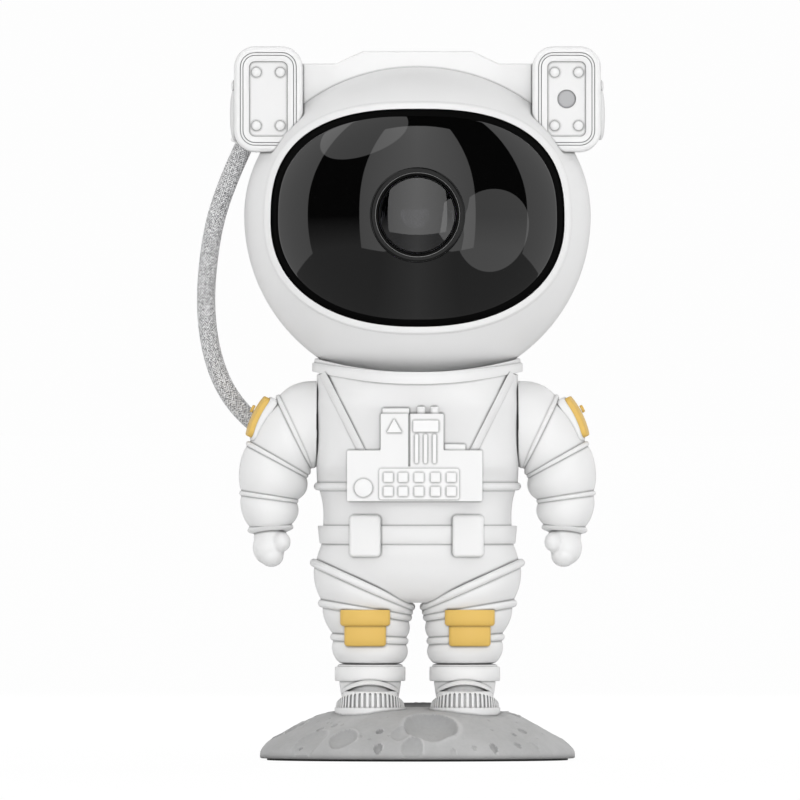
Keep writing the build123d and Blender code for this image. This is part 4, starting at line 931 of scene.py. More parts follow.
ROCK_RADIUS = 49.6
CRATER_REACH = 2.2  # how many of its radii a crater reaches
GOLDEN_ANGLE = 2.39996
ROCK_PROFILE = [
    # radius and height
    (0.0, 16.7), (8.0, 16.5), (16.0, 16.1), (24.0, 15.5), (28.0, 14.9), (31.0, 14.1), (34.0, 12.9),
    (38.0, 10.8), (42.0, 8.6), (45.5, 6.6), (47.6, 5.0), (49.0, 3.6), (49.5, 2.7),
]
CRATERS = [
    # x, height on the front slope, radius, depth, rim
    (4.4, 10.6, 8.3, 3.4, 0.8),
    (-1.7, 4.1, 3.4, 1.3, 0.15),
    (-5.2, 8.4, 3.2, 0.7, 0.0),
    (-12.4, 4.4, 1.5, 1.2, 0.2),
    (-11.9, 9.3, 1.2, 0.9, 0.15),
    (23.9, 4.3, 1.3, 1.1, 0.2),
    (17.8, 4.3, 0.8, 0.4, 0.08),
    (11.3, 2.6, 1.0, 0.35, 0.1),
    (-23.4, 7.2, 4.5, 1.5, 0.25),
    (-34.0, 6.2, 5.6, 1.3, 0.1),
    (30.4, 8.3, 1.0, 0.5, 0.15),
    (31.4, 5.1, 1.2, 0.6, 0.15),
    (32.9, 9.4, 1.5, 0.6, 0.15),
    (-30.5, 10.0, 1.3, 0.45, 0.15),
    (-26.0, 11.2, 1.2, 0.4, 0.15),
    (-36.5, 5.2, 0.8, 0.5, 0.1),
    (-18.0, 8.0, 0.9, 0.3, 0.1),
    (36.5, 4.2, 2.0, 0.4, 0.1),
]


def rock_height(radius):
    """Height of the smooth rock at a distance from its middle."""
    for inner, outer in zip(ROCK_PROFILE, ROCK_PROFILE[1:]):
        if radius <= outer[0]:
            t = max(min((radius - inner[0]) / (outer[0] - inner[0]), 1), 0)
            return inner[1] + (outer[1] - inner[1]) * t
    return ROCK_PROFILE[-1][1]


def rock_radius(height):
    """Distance from the middle at which the smooth rock has a height."""
    for inner, outer in zip(ROCK_PROFILE, ROCK_PROFILE[1:]):
        if outer[1] <= height <= inner[1]:
            return inner[0] + (outer[0] - inner[0]) * (inner[1] - height) / (inner[1] - outer[1])
    return ROCK_PROFILE[-1][0]


def falloff(value):
    """A power that falls from 1 at zero, for soft edges."""
    return pow(2.718, -value)


class PROJECTOR_OT_rock(bpy.types.Operator):
    """Adds the cratered moon rock"""

    bl_idname = "projector.rock"
    bl_label = "Moon rock"

    def craters(self, seed):
        """Place, radius, depth and rim of each crater."""
        found = []
        for x, height, radius, depth, rim in CRATERS:
            found.append((x, -sqrt(rock_radius(height) ** 2 - x * x), radius, depth, rim))
        for index in range(90):
            roll = [noise.noise(Vector((seed + index * 1.37, k * 5.1, 0.5))) for k in range(4)]
            angle = index * GOLDEN_ANGLE
            reach = 20 + 28 * abs((roll[0] * 3) % 1.0)
            front = sin(angle) < -0.2
            radius = (0.3 + 0.6 * abs(roll[1])) if front else (0.6 + 9 * abs(roll[1]) ** 1.6)
            found.append((reach * cos(angle), reach * sin(angle), radius, radius * 0.4, radius * 0.07))
        return found

    def ground(self, x, y, spot):
        """Height of the rock at a point, without its craters."""
        radius, hump, heels = hypot(x, y), 1.6, 13.0
        waves = sum(high * noise.noise(spot * fine) for high, fine in ((1.5, 0.07), (0.6, 0.22), (0.3, 0.7)))
        fade = min(1.0, (ROCK_RADIUS - radius) / 4 + 0.1)
        raised = hump / (1 + falloff((y - heels) * 4)) / (1 + falloff((22 - radius) * 1.2))
        return rock_height(radius) + fade * sizes().roughness * waves + raised

    def dent(self, x, y, warp, crater):
        """Height and painted tone that a crater adds at a point: below zero the tone is painted shade, above
        zero a painted highlight on the rim.
        """
        cx, cy, size, depth, rim = crater
        gap = hypot(x - cx, y - cy) / size * warp
        if gap >= CRATER_REACH:
            return 0.0, 0.0
        steep = min(1.0, 1.5 * depth / size)
        across, back = (x - cx) / (gap * size + 0.01), (y - cy) / (gap * size + 0.01)
        height = rim * falloff(((gap - 1.08) / 0.22) ** 2)
        # painted highlight along the rim, brighter on its right side
        tone = steep * 0.4 * falloff(((gap - 1.09) / 0.08) ** 2) * max(0.2, across)
        if gap < 1:
            height -= depth * (1 - gap ** 4)
            # painted shade inside the crater, darkest up the back wall and at the front edge
            tone -= steep * (0.1 + 0.4 * gap ** 2 * max(0, back) + 0.55 * gap ** 8 * max(0.25, -back))
        return height, tone

    def execute(self, context):
        seed = sizes().seed
        craters = self.craters(seed)
        around, rings, tones = 800, [], []
        radii = [0.6 + 1.2 * step for step in range(18)] + [22.2 + 27.3 * step / 92 for step in range(93)]
        for radius in radii:
            ring = []
            near = [c for c in craters if abs(hypot(c[0], c[1]) - radius) < CRATER_REACH * c[2]]
            for angle in turns(around):
                x, y = radius * cos(angle), radius * sin(angle)
                spot = Vector((x, y, seed))
                height, tone = self.ground(x, y, spot), 0.0
                warp = 1 + 0.1 * noise.noise(spot * 0.16)
                for crater in near:
                    rise, shade = self.dent(x, y, warp, crater)
                    height, tone = height + rise, tone + shade
                ring.append((x, y, height))
                tones.append(tone)
            rings.append(ring)
        for radius, z in ((ROCK_RADIUS, 1.9), (ROCK_RADIUS, 0.85), (ROCK_RADIUS - 0.4, 0.6)):
            rings.append([(radius * cos(t), radius * sin(t), z) for t in turns(around)])
        rock = Shape().loft(rings).fit("moon_rock_skin", "torso", "moon_base", slot="rock_plastic", sharp=60)
        # the painted crater shade and rim highlights, kept as the mesh's relief attribute
        tones += [0.0] * (len(rock.data.vertices) - len(tones))
        rock.data.attributes.new("relief", "FLOAT", "POINT").data.foreach_set("value", tones)
        return {"FINISHED"}


class PROJECTOR_OT_suit(bpy.types.Operator):
    """Adds the padded trunk and legs with their rolls"""

    bl_idname = "projector.suit"
    bl_label = "Suit"

    def execute(self, context):
        roll, swell = sizes().band, sizes().swell
        seat = [
            # the neck's seat: height, half width, half depth
            (108.4, 24.0, 24.0), (114.0, 26.0, 26.0), (120.6, 29.3, 29.3), (121.6, 29.9, 29.9),
            (121.7, 30.9, 30.9),
        ]
        trunk = Shape().loft([
            oval((-wide, z), (wide, z), deep, 0.0, trunk_fullness(z), 160)
            for z, wide, deep in seat + blended(TRUNK, 4)
        ])
        trunk.band(trunk_ring(86.2, 0.1), roll)
        legs = Shape().limb(LEG, (swell, swell, swell * 1.3), 1.3, -0.1, roll)
        trunk.join(legs.join(legs.mirrored()))
        trunk.fit("padded_suit", "torso", "body_front_shell", "body_rear_shell", sharp=60)
        return {"FINISHED"}


class PROJECTOR_OT_harness(bpy.types.Operator):
    """Adds the collar, the shoulder straps, the belt and its pouches"""

    bl_idname = "projector.harness"
    bl_label = "Collar, straps and belt"

    def execute(self, context):
        # the collar hangs lower in front; each row is radius, height and drop at the front
        rings = [
            [(radius * cos(t), radius * sin(t), height - drop * min(0, sin(t)) ** 2) for t in turns(160)]
            for radius, height, drop in (
                (30.6, 122.4, 4.0), (32.8, 122.3, 4.0), (33.1, 122.45, 4.0), (33.2, 122.9, 3.9),
                (33.15, 124.9, 3.0), (32.9, 125.15, 2.95), (32.5, 125.2, 3.0), (32.4, 126.3, 4.2),
                (32.1, 126.5, 4.4), (31.6, 126.2, 4.4),
            )
        ]
        Shape().loft(rings, closed=True).fit("collar_ring", "torso", "neck_collar", sharp=50)

        # each point of a strap's section is its place across the strap and its lift off the trunk
        section = [(-1.15, -2.6), (-1.15, 0.45), (-0.95, 0.7), (0.95, 0.7), (1.15, 0.45), (1.15, -2.6)]
        lean = Vector((12.9, -24.3)).normalized()
        rings = []
        for step in range(31):
            t = step / 30
            x, z = -29.9 + 12.5 * t, 121.8 - 24.8 * t
            rings.append([on_trunk(x - lean.y * w, z + lean.x * w, lift) for w, lift in section])
        straps = Shape().loft(rings)
        straps.join(straps.mirrored()).fit("shoulder_straps", "torso", "harness_straps", sharp=50)

        rows = [(-1.0, 68.2), (0.75, 68.2), (0.95, 68.45), (1.5, 73.5), (1.3, 73.8), (-1.0, 73.8)]
        rings = [[(p.x, p.y, z) for p in trunk_ring(71.0, grow)] for grow, z in rows]
        belt = Shape().loft(rings, closed=True)
        for x in (-16.5, 15.9):
            belt.prism(rounded(9.8, 13.1, 1.3, (x, 70.65)), round_edge(-14.0, -24.3, 0.9))
        belt.fit("belt_with_pouches", "torso", "belt", sharp=50)
        return {"FINISHED"}


class PROJECTOR_OT_knee_pads(bpy.types.Operator):
    """Adds the stepped yellow knee pads"""

    bl_idname = "projector.knee_pads"
    bl_label = "Knee pads"

    def front(self, x, lift):
        """Depth of the knee's front at a distance from its middle, lifted off by an amount."""
        return -(15.3 + lift) * sqrt(max(0.0, 1 - (x / (15.0 + lift)) ** 2))

    def execute(self, context):
        pads, knee, steps = Shape(), -16.45, 40
        for left, right, low, high, lift in ((-23.0, -9.9, 35.9, 43.0, 0.9), (-24.3, -8.6, 42.3, 47.4, 1.9)):
            rows = []
            for z, cut in (
                (low, 0.9), (low + 0.12, 0.55), (low + 0.35, 0.25), (low + 0.8, 0.0), ((low + high) / 2, 0.0),
                (high - 0.4, 0.0), (high - 0.12, 0.1), (high, 0.35),
            ):
                top, bottom = [], []
                for step in range(steps + 1):
                    x = left + cut + (right - left - 2 * cut) * step / steps
                    side = 0.35 * (1 - min(1.0, min(step, steps - step) / 1.5))
                    top.append((x, self.front(x - knee, lift - cut - side), z))
                    bottom.append((x, self.front(x - knee, -2.2), z))
                rows.append(top + bottom[::-1])
            pads.loft(rows)
        for name, shape in (("left", pads), ("right", pads.mirrored())):
            shape.fit(name + "_knee_plates", "torso", name + "_knee_pad", slot="yellow_plastic", sharp=45)
        return {"FINISHED"}


class PROJECTOR_OT_boots(bpy.types.Operator):
    """Adds the boots with their soles, ribbed toe caps and ankle rings"""

    bl_idname = "projector.boots"
    bl_label = "Boots"
    foot = -14.9

    def ring(self, y, wide, long, z, count=96):
        """Level oval round the left foot, whose middle is at y."""
        ways = [(powered(cos(t), 2.25), powered(sin(t), 2.25)) for t in turns(count)]
        return [(self.foot + wide * across, y + long * ahead, z) for across, ahead in ways]

    def stack(self, *rows):
        return [self.ring(*row) for row in rows]

    def toe_cap(self):
        """Cap that is higher in front, with upright slots round it."""
        count, pitch, low, rings = 720, 1.74, 16.3, []
        slot_reach, slot_edge, slot_depth = 0.46, 0.18, 0.75
        base = [Vector(p) for p in self.ring(-6, 10.9, 18.5, 0, count)]
        lengths = [(b - a).length for a, b in zip(base, base[1:] + base[:1])]
        travel, start = [], -sum(lengths[:count * 3 // 4])
        for step in lengths:
            travel.append(start)
            start += step
        for row in range(31):
            t = row / 30
            ring = []
            for spot, along in zip(base, travel):
                top = 17.4 + 4.1 * max(0.0, min(1.0, (-spot.y - 3) / 21))
                z = low + (top - low) * t
                lean = 0.12 * (z - low) + 1.1 * max(0.0, t - 0.8) ** 2 * 12
                local = abs((along / pitch + 0.5) % 1 - 0.5) * pitch
                gap = hypot(local, max(0.0, z - (top - 0.7), 17.0 - z))
                if spot.y < -9:
                    lean += slot_depth * max(0.0, min(1.0, (slot_reach - gap) / slot_edge))
                place = spot - Vector((spot.x - self.foot, spot.y + 6, 0)).normalized() * lean
                ring.append((place.x, place.y, z))
            rings.append(ring)
        return rings

    def hood(self):
        """Arch of the tongue over the recess."""
        section = ((0, -0.15), (-0.35, 0.25), (0, 0.75), (5.5, 1.6), (5.5, -0.1))
        rings = []
        for step in range(41):
            t = -1 + step / 20
            x, z = self.foot + 9.0 * t, 24.0 - 2.9 * abs(t) ** 2.2
            y = -1.0 - 14.2 * (1 - abs(t) ** 2.4) ** 0.5 - 0.6
            rings.append([(x, y + ahead, z + rise) for ahead, rise in section])
        return rings

    def execute(self, context):
        boot = Shape()
        boot.loft(self.stack(
            (-6, 10.9, 18.8, 14.1), (-6, 11.15, 19.0, 14.5), (-6, 11.2, 19.0, 16.5), (-6, 11.0, 18.8, 16.6),
            (-6, 10.0, 17.8, 16.6), (-6, 9.0, 16.8, 19.0),
        ))
        boot.loft(self.toe_cap())
        # instep, tongue and lip
        boot.loft(self.stack(
            (-5.5, 8.6, 15.0, 18.5), (-5.4, 8.6, 14.9, 21.1), (-5.3, 8.3, 14.6, 21.6),
            (-4.8, 7.8, 13.6, 21.75), (-3.0, 7.6, 10.6, 21.6), (-2.2, 7.6, 9.6, 22.4),
            (-1.6, 7.8, 9.6, 23.4), (-1.2, 8.2, 9.8, 24.2),
        ))
        boot.loft(self.hood())
        # ankle, and the ring round it
        boot.loft(self.stack(
            (1.2, 8.7, 9.4, 18.5), (1.0, 9.3, 10.2, 21.4), (0.4, 9.5, 11.0, 23.0), (0.0, 9.7, 11.6, 24.2),
            (0.0, 9.6, 11.5, 25.2),
        ))
        boot.loft(self.stack(
            (0, 10.2, 11.8, 24.9), (0, 10.9, 12.4, 24.95), (0, 11.1, 12.6, 25.2), (0, 11.15, 12.6, 27.2),
            (0, 11.1, 12.6, 29.1), (0, 10.9, 12.4, 29.4), (0, 10.3, 11.8, 29.45), (0, 10.2, 11.7, 30.0),
            (0, 9.6, 11.1, 30.2),
        ))
        for name, shape in (("left", boot), ("right", boot.mirrored())):
            shape.fit(name + "_boot_shell", "torso", name + "_boot", sharp=50)
        return {"FINISHED"}


class PROJECTOR_OT_arms(bpy.types.Operator):
    """Adds the padded arms, the gloves and the shoulder plates"""

    bl_idname = "projector.arms"
    bl_label = "Arms"

    def sleeve(self):
        swell, rings = sizes().swell, []
        rows = [(*inner, *outer, deep) for inner, outer, deep in SHOULDER + ARM[:1]]
        arm = Shape().loft([oval(row[:2], row[2:4], row[4]) for row in blended(rows, 5)])
        arm.limb(ARM, (0.9 * swell, 1.7 * swell, 1.3 * swell), 0.9, -0.2, sizes().arm_band)
        # flared cuff, higher in front; each row is growth, height and half depth
        for grow, height, deep in (
            (-1.2, 75.2, 7.2), (-0.4, 74.2, 8.1), (0.1, 73.4, 8.6), (0.35, 72.9, 8.8), (0.2, 72.4, 8.7),
            (-0.5, 71.9, 8.0), (-1.8, 71.5, 6.6),
        ):
            ring = oval((-39.4, height + 0.5), (-53.2, height - 0.5), deep - 0.35, grow, 2.0)
            for point in ring:
                point.z += 0.9 * max(0, -point.y / deep) ** 1.5
            rings.append(ring)
        return arm.loft(rings)

    def glove(self):
        """Palm, fingers and thumb, still to be melted together."""
        hand = Shape()
        hand.ball((-46.3, -0.6, 70.2), (5.3, 5.6, 4.4))
        hand.ball((-46.8, -1.6, 67.0), (5.1, 5.6, 5.6))
        hand.ball((-46.0, -2.6, 64.4), (3.9, 4.6, 3.6))
        return hand.ball((-42.7, -5.0, 68.7), (2.8, 2.9, 3.1))

    def patch(self):
        """Yellow plate on a white backing, bent round the sleeve."""
        middle = Vector((-50.1, 0, 108.0))
        down = Vector((-6.0, 0, -12.5)).normalized()
        out = Vector((down.z, 0, -down.x))

        def spot(x, y, lift):
            return middle + down * x + Vector((0, y, 0)) + out * lift

        plates = []
        for lift, thick, wide, long in ((2.2, 1.9, 12.4, 13.7), (0.6, 2.4, 13.2, 15.0)):
            outline = dense(rounded(long, wide, 2.2, steps=6), 0.8)
            edge = ((0.0, 0.0), (0.35, 0.0), (0.7, 0.0), (0.94, 0.05), (0.985, 0.2), (1.0, 0.5), (1.0, thick))
            rings = []
            for share, drop in edge:
                scaled = [(x * share, y * share) for x, y in outline]
                rings.append([spot(x, y, lift - drop - (y * y / 40 + 0.018 * x * x)) for x, y in scaled])
            plates.append(Shape().loft(rings))
        yellow, backing = plates
        stud = ((1.25, 0.4), (1.25, 1.0), (1.1, 1.3), (0.8, 1.4))
        yellow.loft([
            [spot(-1.6 + radius * cos(t), radius * sin(t), 1.9 + lift) for t in turns(24)]
            for radius, lift in stud
        ])
        return yellow, backing

    def execute(self, context):
        arm, hand, (yellow, backing) = self.sleeve(), self.glove(), self.patch()
        arm.join(backing)
        for side in ("left", "right"):
            if side == "right":
                arm, hand, yellow = arm.mirrored(), hand.mirrored(), yellow.mirrored()
            body = side + "_arm"
            arm.fit(side + "_sleeve", body, side + "_arm", sharp=60)
            glove = fused(hand.build(side + "_glove", FINISHES["white_plastic"]), 0.35, 10)
            settle(glove, body, "white_plastic", side + "_hand")
            names = side + "_shoulder_plate", body, side + "_shoulder_patch"
            yellow.fit(*names, slot="yellow_plastic", sharp=45)
        return {"FINISHED"}


class PROJECTOR_OT_chest_pack(bpy.types.Operator):
    """Adds the chest pack with its keys, sliders and pipes"""

    bl_idname = "projector.chest_pack"
    bl_label = "Chest pack"

    def execute(self, context):
        back, front = -12.0, -33.4
        outline = [
            (-22.2, 81.6), (20.4, 81.6), (20.4, 97.6), (8.2, 97.6), (8.2, 109.1), (-2.3, 109.1), (-2.3, 92.6),
            (-2.9, 92.6), (-2.9, 109.1), (-11.6, 109.1), (-11.6, 97.6), (-22.2, 97.6),
        ]
        rounder = []
        for before, here, after in corners(outline):
            reach = 0.5 if abs(here[0] + 2.6) > 0.4 else 0.12
            a, b = ((Vector(other) - Vector(here)).normalized() * reach for other in (before, after))
            rounder += [tuple(Vector(here) + a * (1 - t) ** 2 + b * t ** 2) for t in (0, 0.5, 1)]
        pack = Shape()
        pack.prism(rounder, [(0, back), (0, front + 0.25), (0.05, front + 0.1), (0.14, front)])
        pack.prism(outline[:5] + [(-11.6, 109.1)] + outline[10:], [(0.3, back), (0.3, front + 0.7)])
        for x, z, wide, tall in ((-6.8, 109.0, 8.4, 3.6), (11.65, 97.6, 6.8, 3.8)):
            pack.prism(rounded(wide, tall, 0.4, (x, z)), round_edge(back, front + 1.6, 0.3))
        stub = [(1.25, 107.0), (1.25, 111.0), (1.1, 111.25), (0.8, 111.3)]
        for x in (1.15, 5.35):
            pack.lathe(stub, (x, front + 3.2, 0), "Z", sides=32)
        pack.fit("chest_console", "torso", "chest_pack", sharp=30)

        keys, root = Shape(), front + 0.5
        keys.prism(rounded(25.2, 9.8, 0.8, (0.5, 87.0)), round_edge(root, front - 0.45, 0.25))
        keys.prism(rounded(8.0, 3.6, 0.4, (2.6, 105.2)), round_edge(root, front - 0.7, 0.2))
        for x in (-0.3, 2.5, 5.3):
            keys.prism(rounded(1.15, 9.2, 0.5, (x, 98.1), 5), round_edge(root, front - 0.7, 0.25))
        triangle = [(-9.7, 103.2), (-4.9, 103.2), (-7.35, 107.5)]
        keys.prism(triangle, [(0, root), (0, front - 0.6), (0.15, front - 0.75)])
        knob = [(2.85, root), (2.85, front - 0.5), (2.75, front - 0.75), (2.4, front - 0.9)]
        keys.lathe(knob, (-17.0, 0, 85.8), sides=64)
        keys.fit("console_controls", "torso", "chest_keys", slot="white_keys", sharp=30)
        key = Shape().prism(rounded(3.0, 3.0, 0.35, steps=3), round_edge(0.4, -0.75, 0.25, 3))
        places = [(x, front - 0.45, z) for z in (89.1, 84.7) for x in (-9.2, -4.55, 0.45, 5.6, 10.6)]
        repeat(key, places, "console_keys", "torso", "white_keys")
        return {"FINISHED"}


class PROJECTOR_OT_visor(bpy.types.Operator):
    """Adds the visor, its rim and the ring round the lens"""

    bl_idname = "projector.visor"
    bl_label = "Visor and lens ring"

    def rim(self, *profile):
        """Shell along the visor's outline through pairs of growth and lift."""
        return Shape().loft([visor_ring(grow, proud) for grow, proud in profile], closed=True)

    def glass(self):
        """Curved mirror between its hole and the visor's outline, outer side first."""
        hole, count, rings = 14.95, 192, []
        for lift in (-0.2, -1.5):
            edge, sheet = visor_ring(-2.0, lift, count), []
            for step in range(33):
                ring = []
                for angle, point in zip(turns(count), edge):
                    start = Vector((hole * cos(angle), 0, hole * sin(angle)))
                    flat = start + (Vector((point.x, 0, point.z - HEAD[2])) - start) * (step / 32)
                    ring.append(on_head(flat.x, flat.z, lift))
                sheet.append(ring)
            rings += sheet if lift > -1 else sheet[::-1]
        return Shape().loft(rings, closed=True)

    def execute(self, context):
        rim = self.rim(
            (-0.05, -1.3), (-0.05, 0.35), (0.05, 0.5), (0.3, 0.62), (0.9, 0.88), (1.5, 1.12), (1.85, 1.2),
            (2.08, 1.15), (2.2, 0.95), (2.2, -1.3),
        )
        rim.fit("visor_frame", "head", "visor_rim", sharp=60)
        seal = self.rim((-2.3, -1.2), (-2.3, -0.2), (-2.05, -0.05), (-1.0, 0.0), (-0.15, -0.05), (-0.1, -1.2))
        seal.fit("visor_seal", "head", "visor_gasket", slot="rubber", finish="seal", sharp=60)
        self.glass().fit("visor_glass", "head", "visor", slot="visor_plastic", sharp=60)

        ring = Shape().lathe([
            (14.85, -47.0), (14.85, -54.9), (14.7, -55.3), (14.3, -55.55), (13.8, -55.6), (13.35, -55.5),
            (13.2, -55.2), (13.05, -54.9), (12.6, -54.4), (12.25, -53.7), (12.15, -53.4), (12.15, -47.0),
        ], HEAD, closed=True, sides=160)
        ring.fit("lens_ring", "head", "lens_bezel", slot="black_plastic", sharp=40)
        bead = [(13.2 + 0.13 * cos(t), -55.25 + 0.13 * sin(t)) for t in turns(10)]
        line = Shape().lathe(bead, HEAD, closed=True, sides=160)
        line.fit("lens_trim_line", "head", slot="steel", finish="dark_steel", sharp=60)
        bulge, apex, reach, steps = 27.5, -56.62, 0.453, 24
        angles = [reach * step / steps for step in range(steps, 0, -1)]
        dome = [(bulge * sin(t), apex + bulge * (1 - cos(t))) for t in angles]
        lens = Shape().lathe([(12.0, -51.0), (12.05, -52.6)] + dome + [(0.05, apex)], HEAD, sides=160)
        lens.fit("front_lens", "head", "projection_lens", slot="clear_glass", finish="coated_glass", sharp=40)
        return {"FINISHED"}


class PROJECTOR_OT_ears(bpy.types.Operator):
    """Adds the ear boxes, their rivets and the bar between them"""

    bl_idname = "projector.ears"
    bl_label = "Ear boxes and crossbar"

    def box(self, x, z, front):
        """Left ear box with two grooves, a recess, and a domed pad and a small stud on its outer side."""
        profile = [(0.7, 13.0), (0.2, 12.8), (0.0, 12.3)] + round_edge(12.0, front, 1.3)[1:]
        groove = ((0, 0), (0.03, 0.7), (0.25, 0.7), (0.28, 0))
        for start in (1.85, 2.7):
            profile += [(start + cut, front + deep) for cut, deep in groove]
        profile += [(4.5, front), (4.65, front + 0.08), (4.75, front + 0.3), (4.75, front + 1.5)]
        box = Shape().prism(rounded(21.6, 33.1, 6.6, (-x, z), 10), profile)
        pad = [(7.9, 1.5), (7.9, -0.1), (7.5, -0.55), (6.3, -0.95), (4.2, -1.22), (2.0, -1.33), (0.3, -1.36)]
        box.lathe(pad, (-57.7, 0, 203.2), "X", sides=64)
        stud = [(1.9, 1.0), (1.9, -0.3), (1.5, -0.7), (0.7, -0.9), (0.1, -0.92)]
        return box.lathe(stud, (-57.7, 0, 212.3), "X", sides=32)

    def panels(self, x, z, face, root):
        """Left panel, and the right one with its round window."""
        plate = dense(rounded(12.1, 23.6, 1.9, (-x, z), 8), 0.5)
        edge = [(0, root), (0, face + 0.1), (0.1, face)]
        rings = [[(px, y, pz) for px, pz in inset(plate, cut)] for cut, y in edge]
        for radius, y in ((3.02, face), (2.95, face + 0.06), (2.95, root)):
            ways = [Vector((px + x, pz - z)).normalized() * radius for px, pz in plate]
            rings.append([(way.x - x, y, way.y + z) for way in ways])
        return Shape().prism(plate, edge), Shape().loft(rings, closed=True).mirrored()

    def execute(self, context):
        front, x, z = -20.0, 46.9, 208.05
        face, box, rivets = front + 0.85, self.box(x, z, front), []
        left, right = self.panels(x, z, face, front + 2.0)
        for side, case, panel, flip, nodes in (
            ("left", box, left, 1, ["ear_panels"]), ("right", box.mirrored(), right, -1, []),
        ):
            case.fit(side + "_ear_case", "head", side + "_ear_box", sharp=32)
            panel.fit(side + "_ear_plate", "head", *nodes, slot="silver_trim", sharp=30)
            rivets += [(-flip * x + dx, face, z + dz) for dx in (-3.75, 3.75) for dz in (-8.4, 8.4)]
        size = sizes().rivet
        dome = Shape().lathe([
            (size * 1.12, 0.3), (size * 1.12, -0.12), (size * 1.06, -0.16), (size, 0.15),
            (size * 0.94, -0.05), (size * 0.8, -0.38), (size * 0.5, -0.62), (0.05, -0.72),
        ], (0, 0, 0), sides=32)
        repeat(dome, rivets, "ear_rivets", "head")
        glass = Shape().lathe([(2.94, 1.4), (2.94, 0.75), (2.85, 0.65), (0.1, 0.62)], (x, face, z), sides=64)
        glass.fit("laser_glass", "head", "laser_window", slot="clear_glass", finish="laser_glass", sharp=40)
        outline = [
            (-36.3, 196.0), (36.3, 196.0), (36.3, 219.3), (25.6, 219.3), (17.2, 223.2), (-17.2, 223.2),
            (-25.6, 219.3), (-36.3, 219.3),
        ]
        bar = Shape().prism(outline, [(0.6, 11.0), (0.15, 10.8), (0, 10.4)] + round_edge(10.0, -8.0, 0.7)[1:])
        bar.fit("helmet_bar", "head", "crossbar", sharp=30)
        return {"FINISHED"}


class PROJECTOR_OT_backpack(bpy.types.Operator):
    """Adds the backpack's case, vents and buttons"""

    bl_idname = "projector.backpack"
    bl_label = "Backpack"

    def execute(self, context):
        outline = rounded(52.0, 58.0, 6.0, (0, 89.0), 10)
        profile = [(2.4, 36.0), (2.4, 12.5), (0, 12.5), (0, 40.3), (0.3, 40.6), (0.7, 40.6)]
        case = Shape().prism(outline, profile)
        case.fit("backpack_case", "torso", "backpack_shell", sharp=35)

        # beads, button rings and a raised panel on the cover
        trim, back, low = Shape(), 43.0, 42.8
        for cut in (2.2, 3.4):
            rings = []
            for grow, lift in ((0, -0.3), (0, 0.25), (0.12, 0.4), (0.38, 0.4), (0.5, 0.25), (0.5, -0.3)):
                rings.append([(x, back + lift, z) for x, z in inset(outline, cut + grow)])
            trim.loft(rings, closed=True)
        ring = [(4.4, low), (4.4, 43.5), (4.55, 43.7), (5.1, 43.7), (5.35, 43.5), (5.4, low)]
        for x in (-13.0, 0.0, 13.0):
            trim.lathe(ring, (x, 0, 100.0), closed=True, sides=72)
        trim.prism(rounded(30.0, 9.5, 1.6, (0, 86.6)), [(0, low), (0, 43.15), (0.15, 43.3)])
        trim.fit("backpack_trim", "torso", sharp=35)
        profile = [(0, -0.6), (0, 0.35), (0.12, 0.5), (0.3, 0.55)]
        slat = Shape().prism(rounded(26.0, 0.75, 0.3, steps=3), profile)
        repeat(slat, [(0, 43.2, 83.2 + 1.7 * k) for k in range(5)], "backpack_vents", "torso")
        profile = [(1.5, -0.3), (1.5, 0.3), (1.25, 0.55), (0.75, 0.68), (0.7, 0.3), (0.05, 0.3)]
        places = [(x, back, z) for x in (-20.5, 20.5) for z in (65.5, 112.5)]
        repeat(Shape().lathe(profile, (0, 0, 0), sides=24), places, "backpack_screws", "torso", "steel")
        return {"FINISHED"}


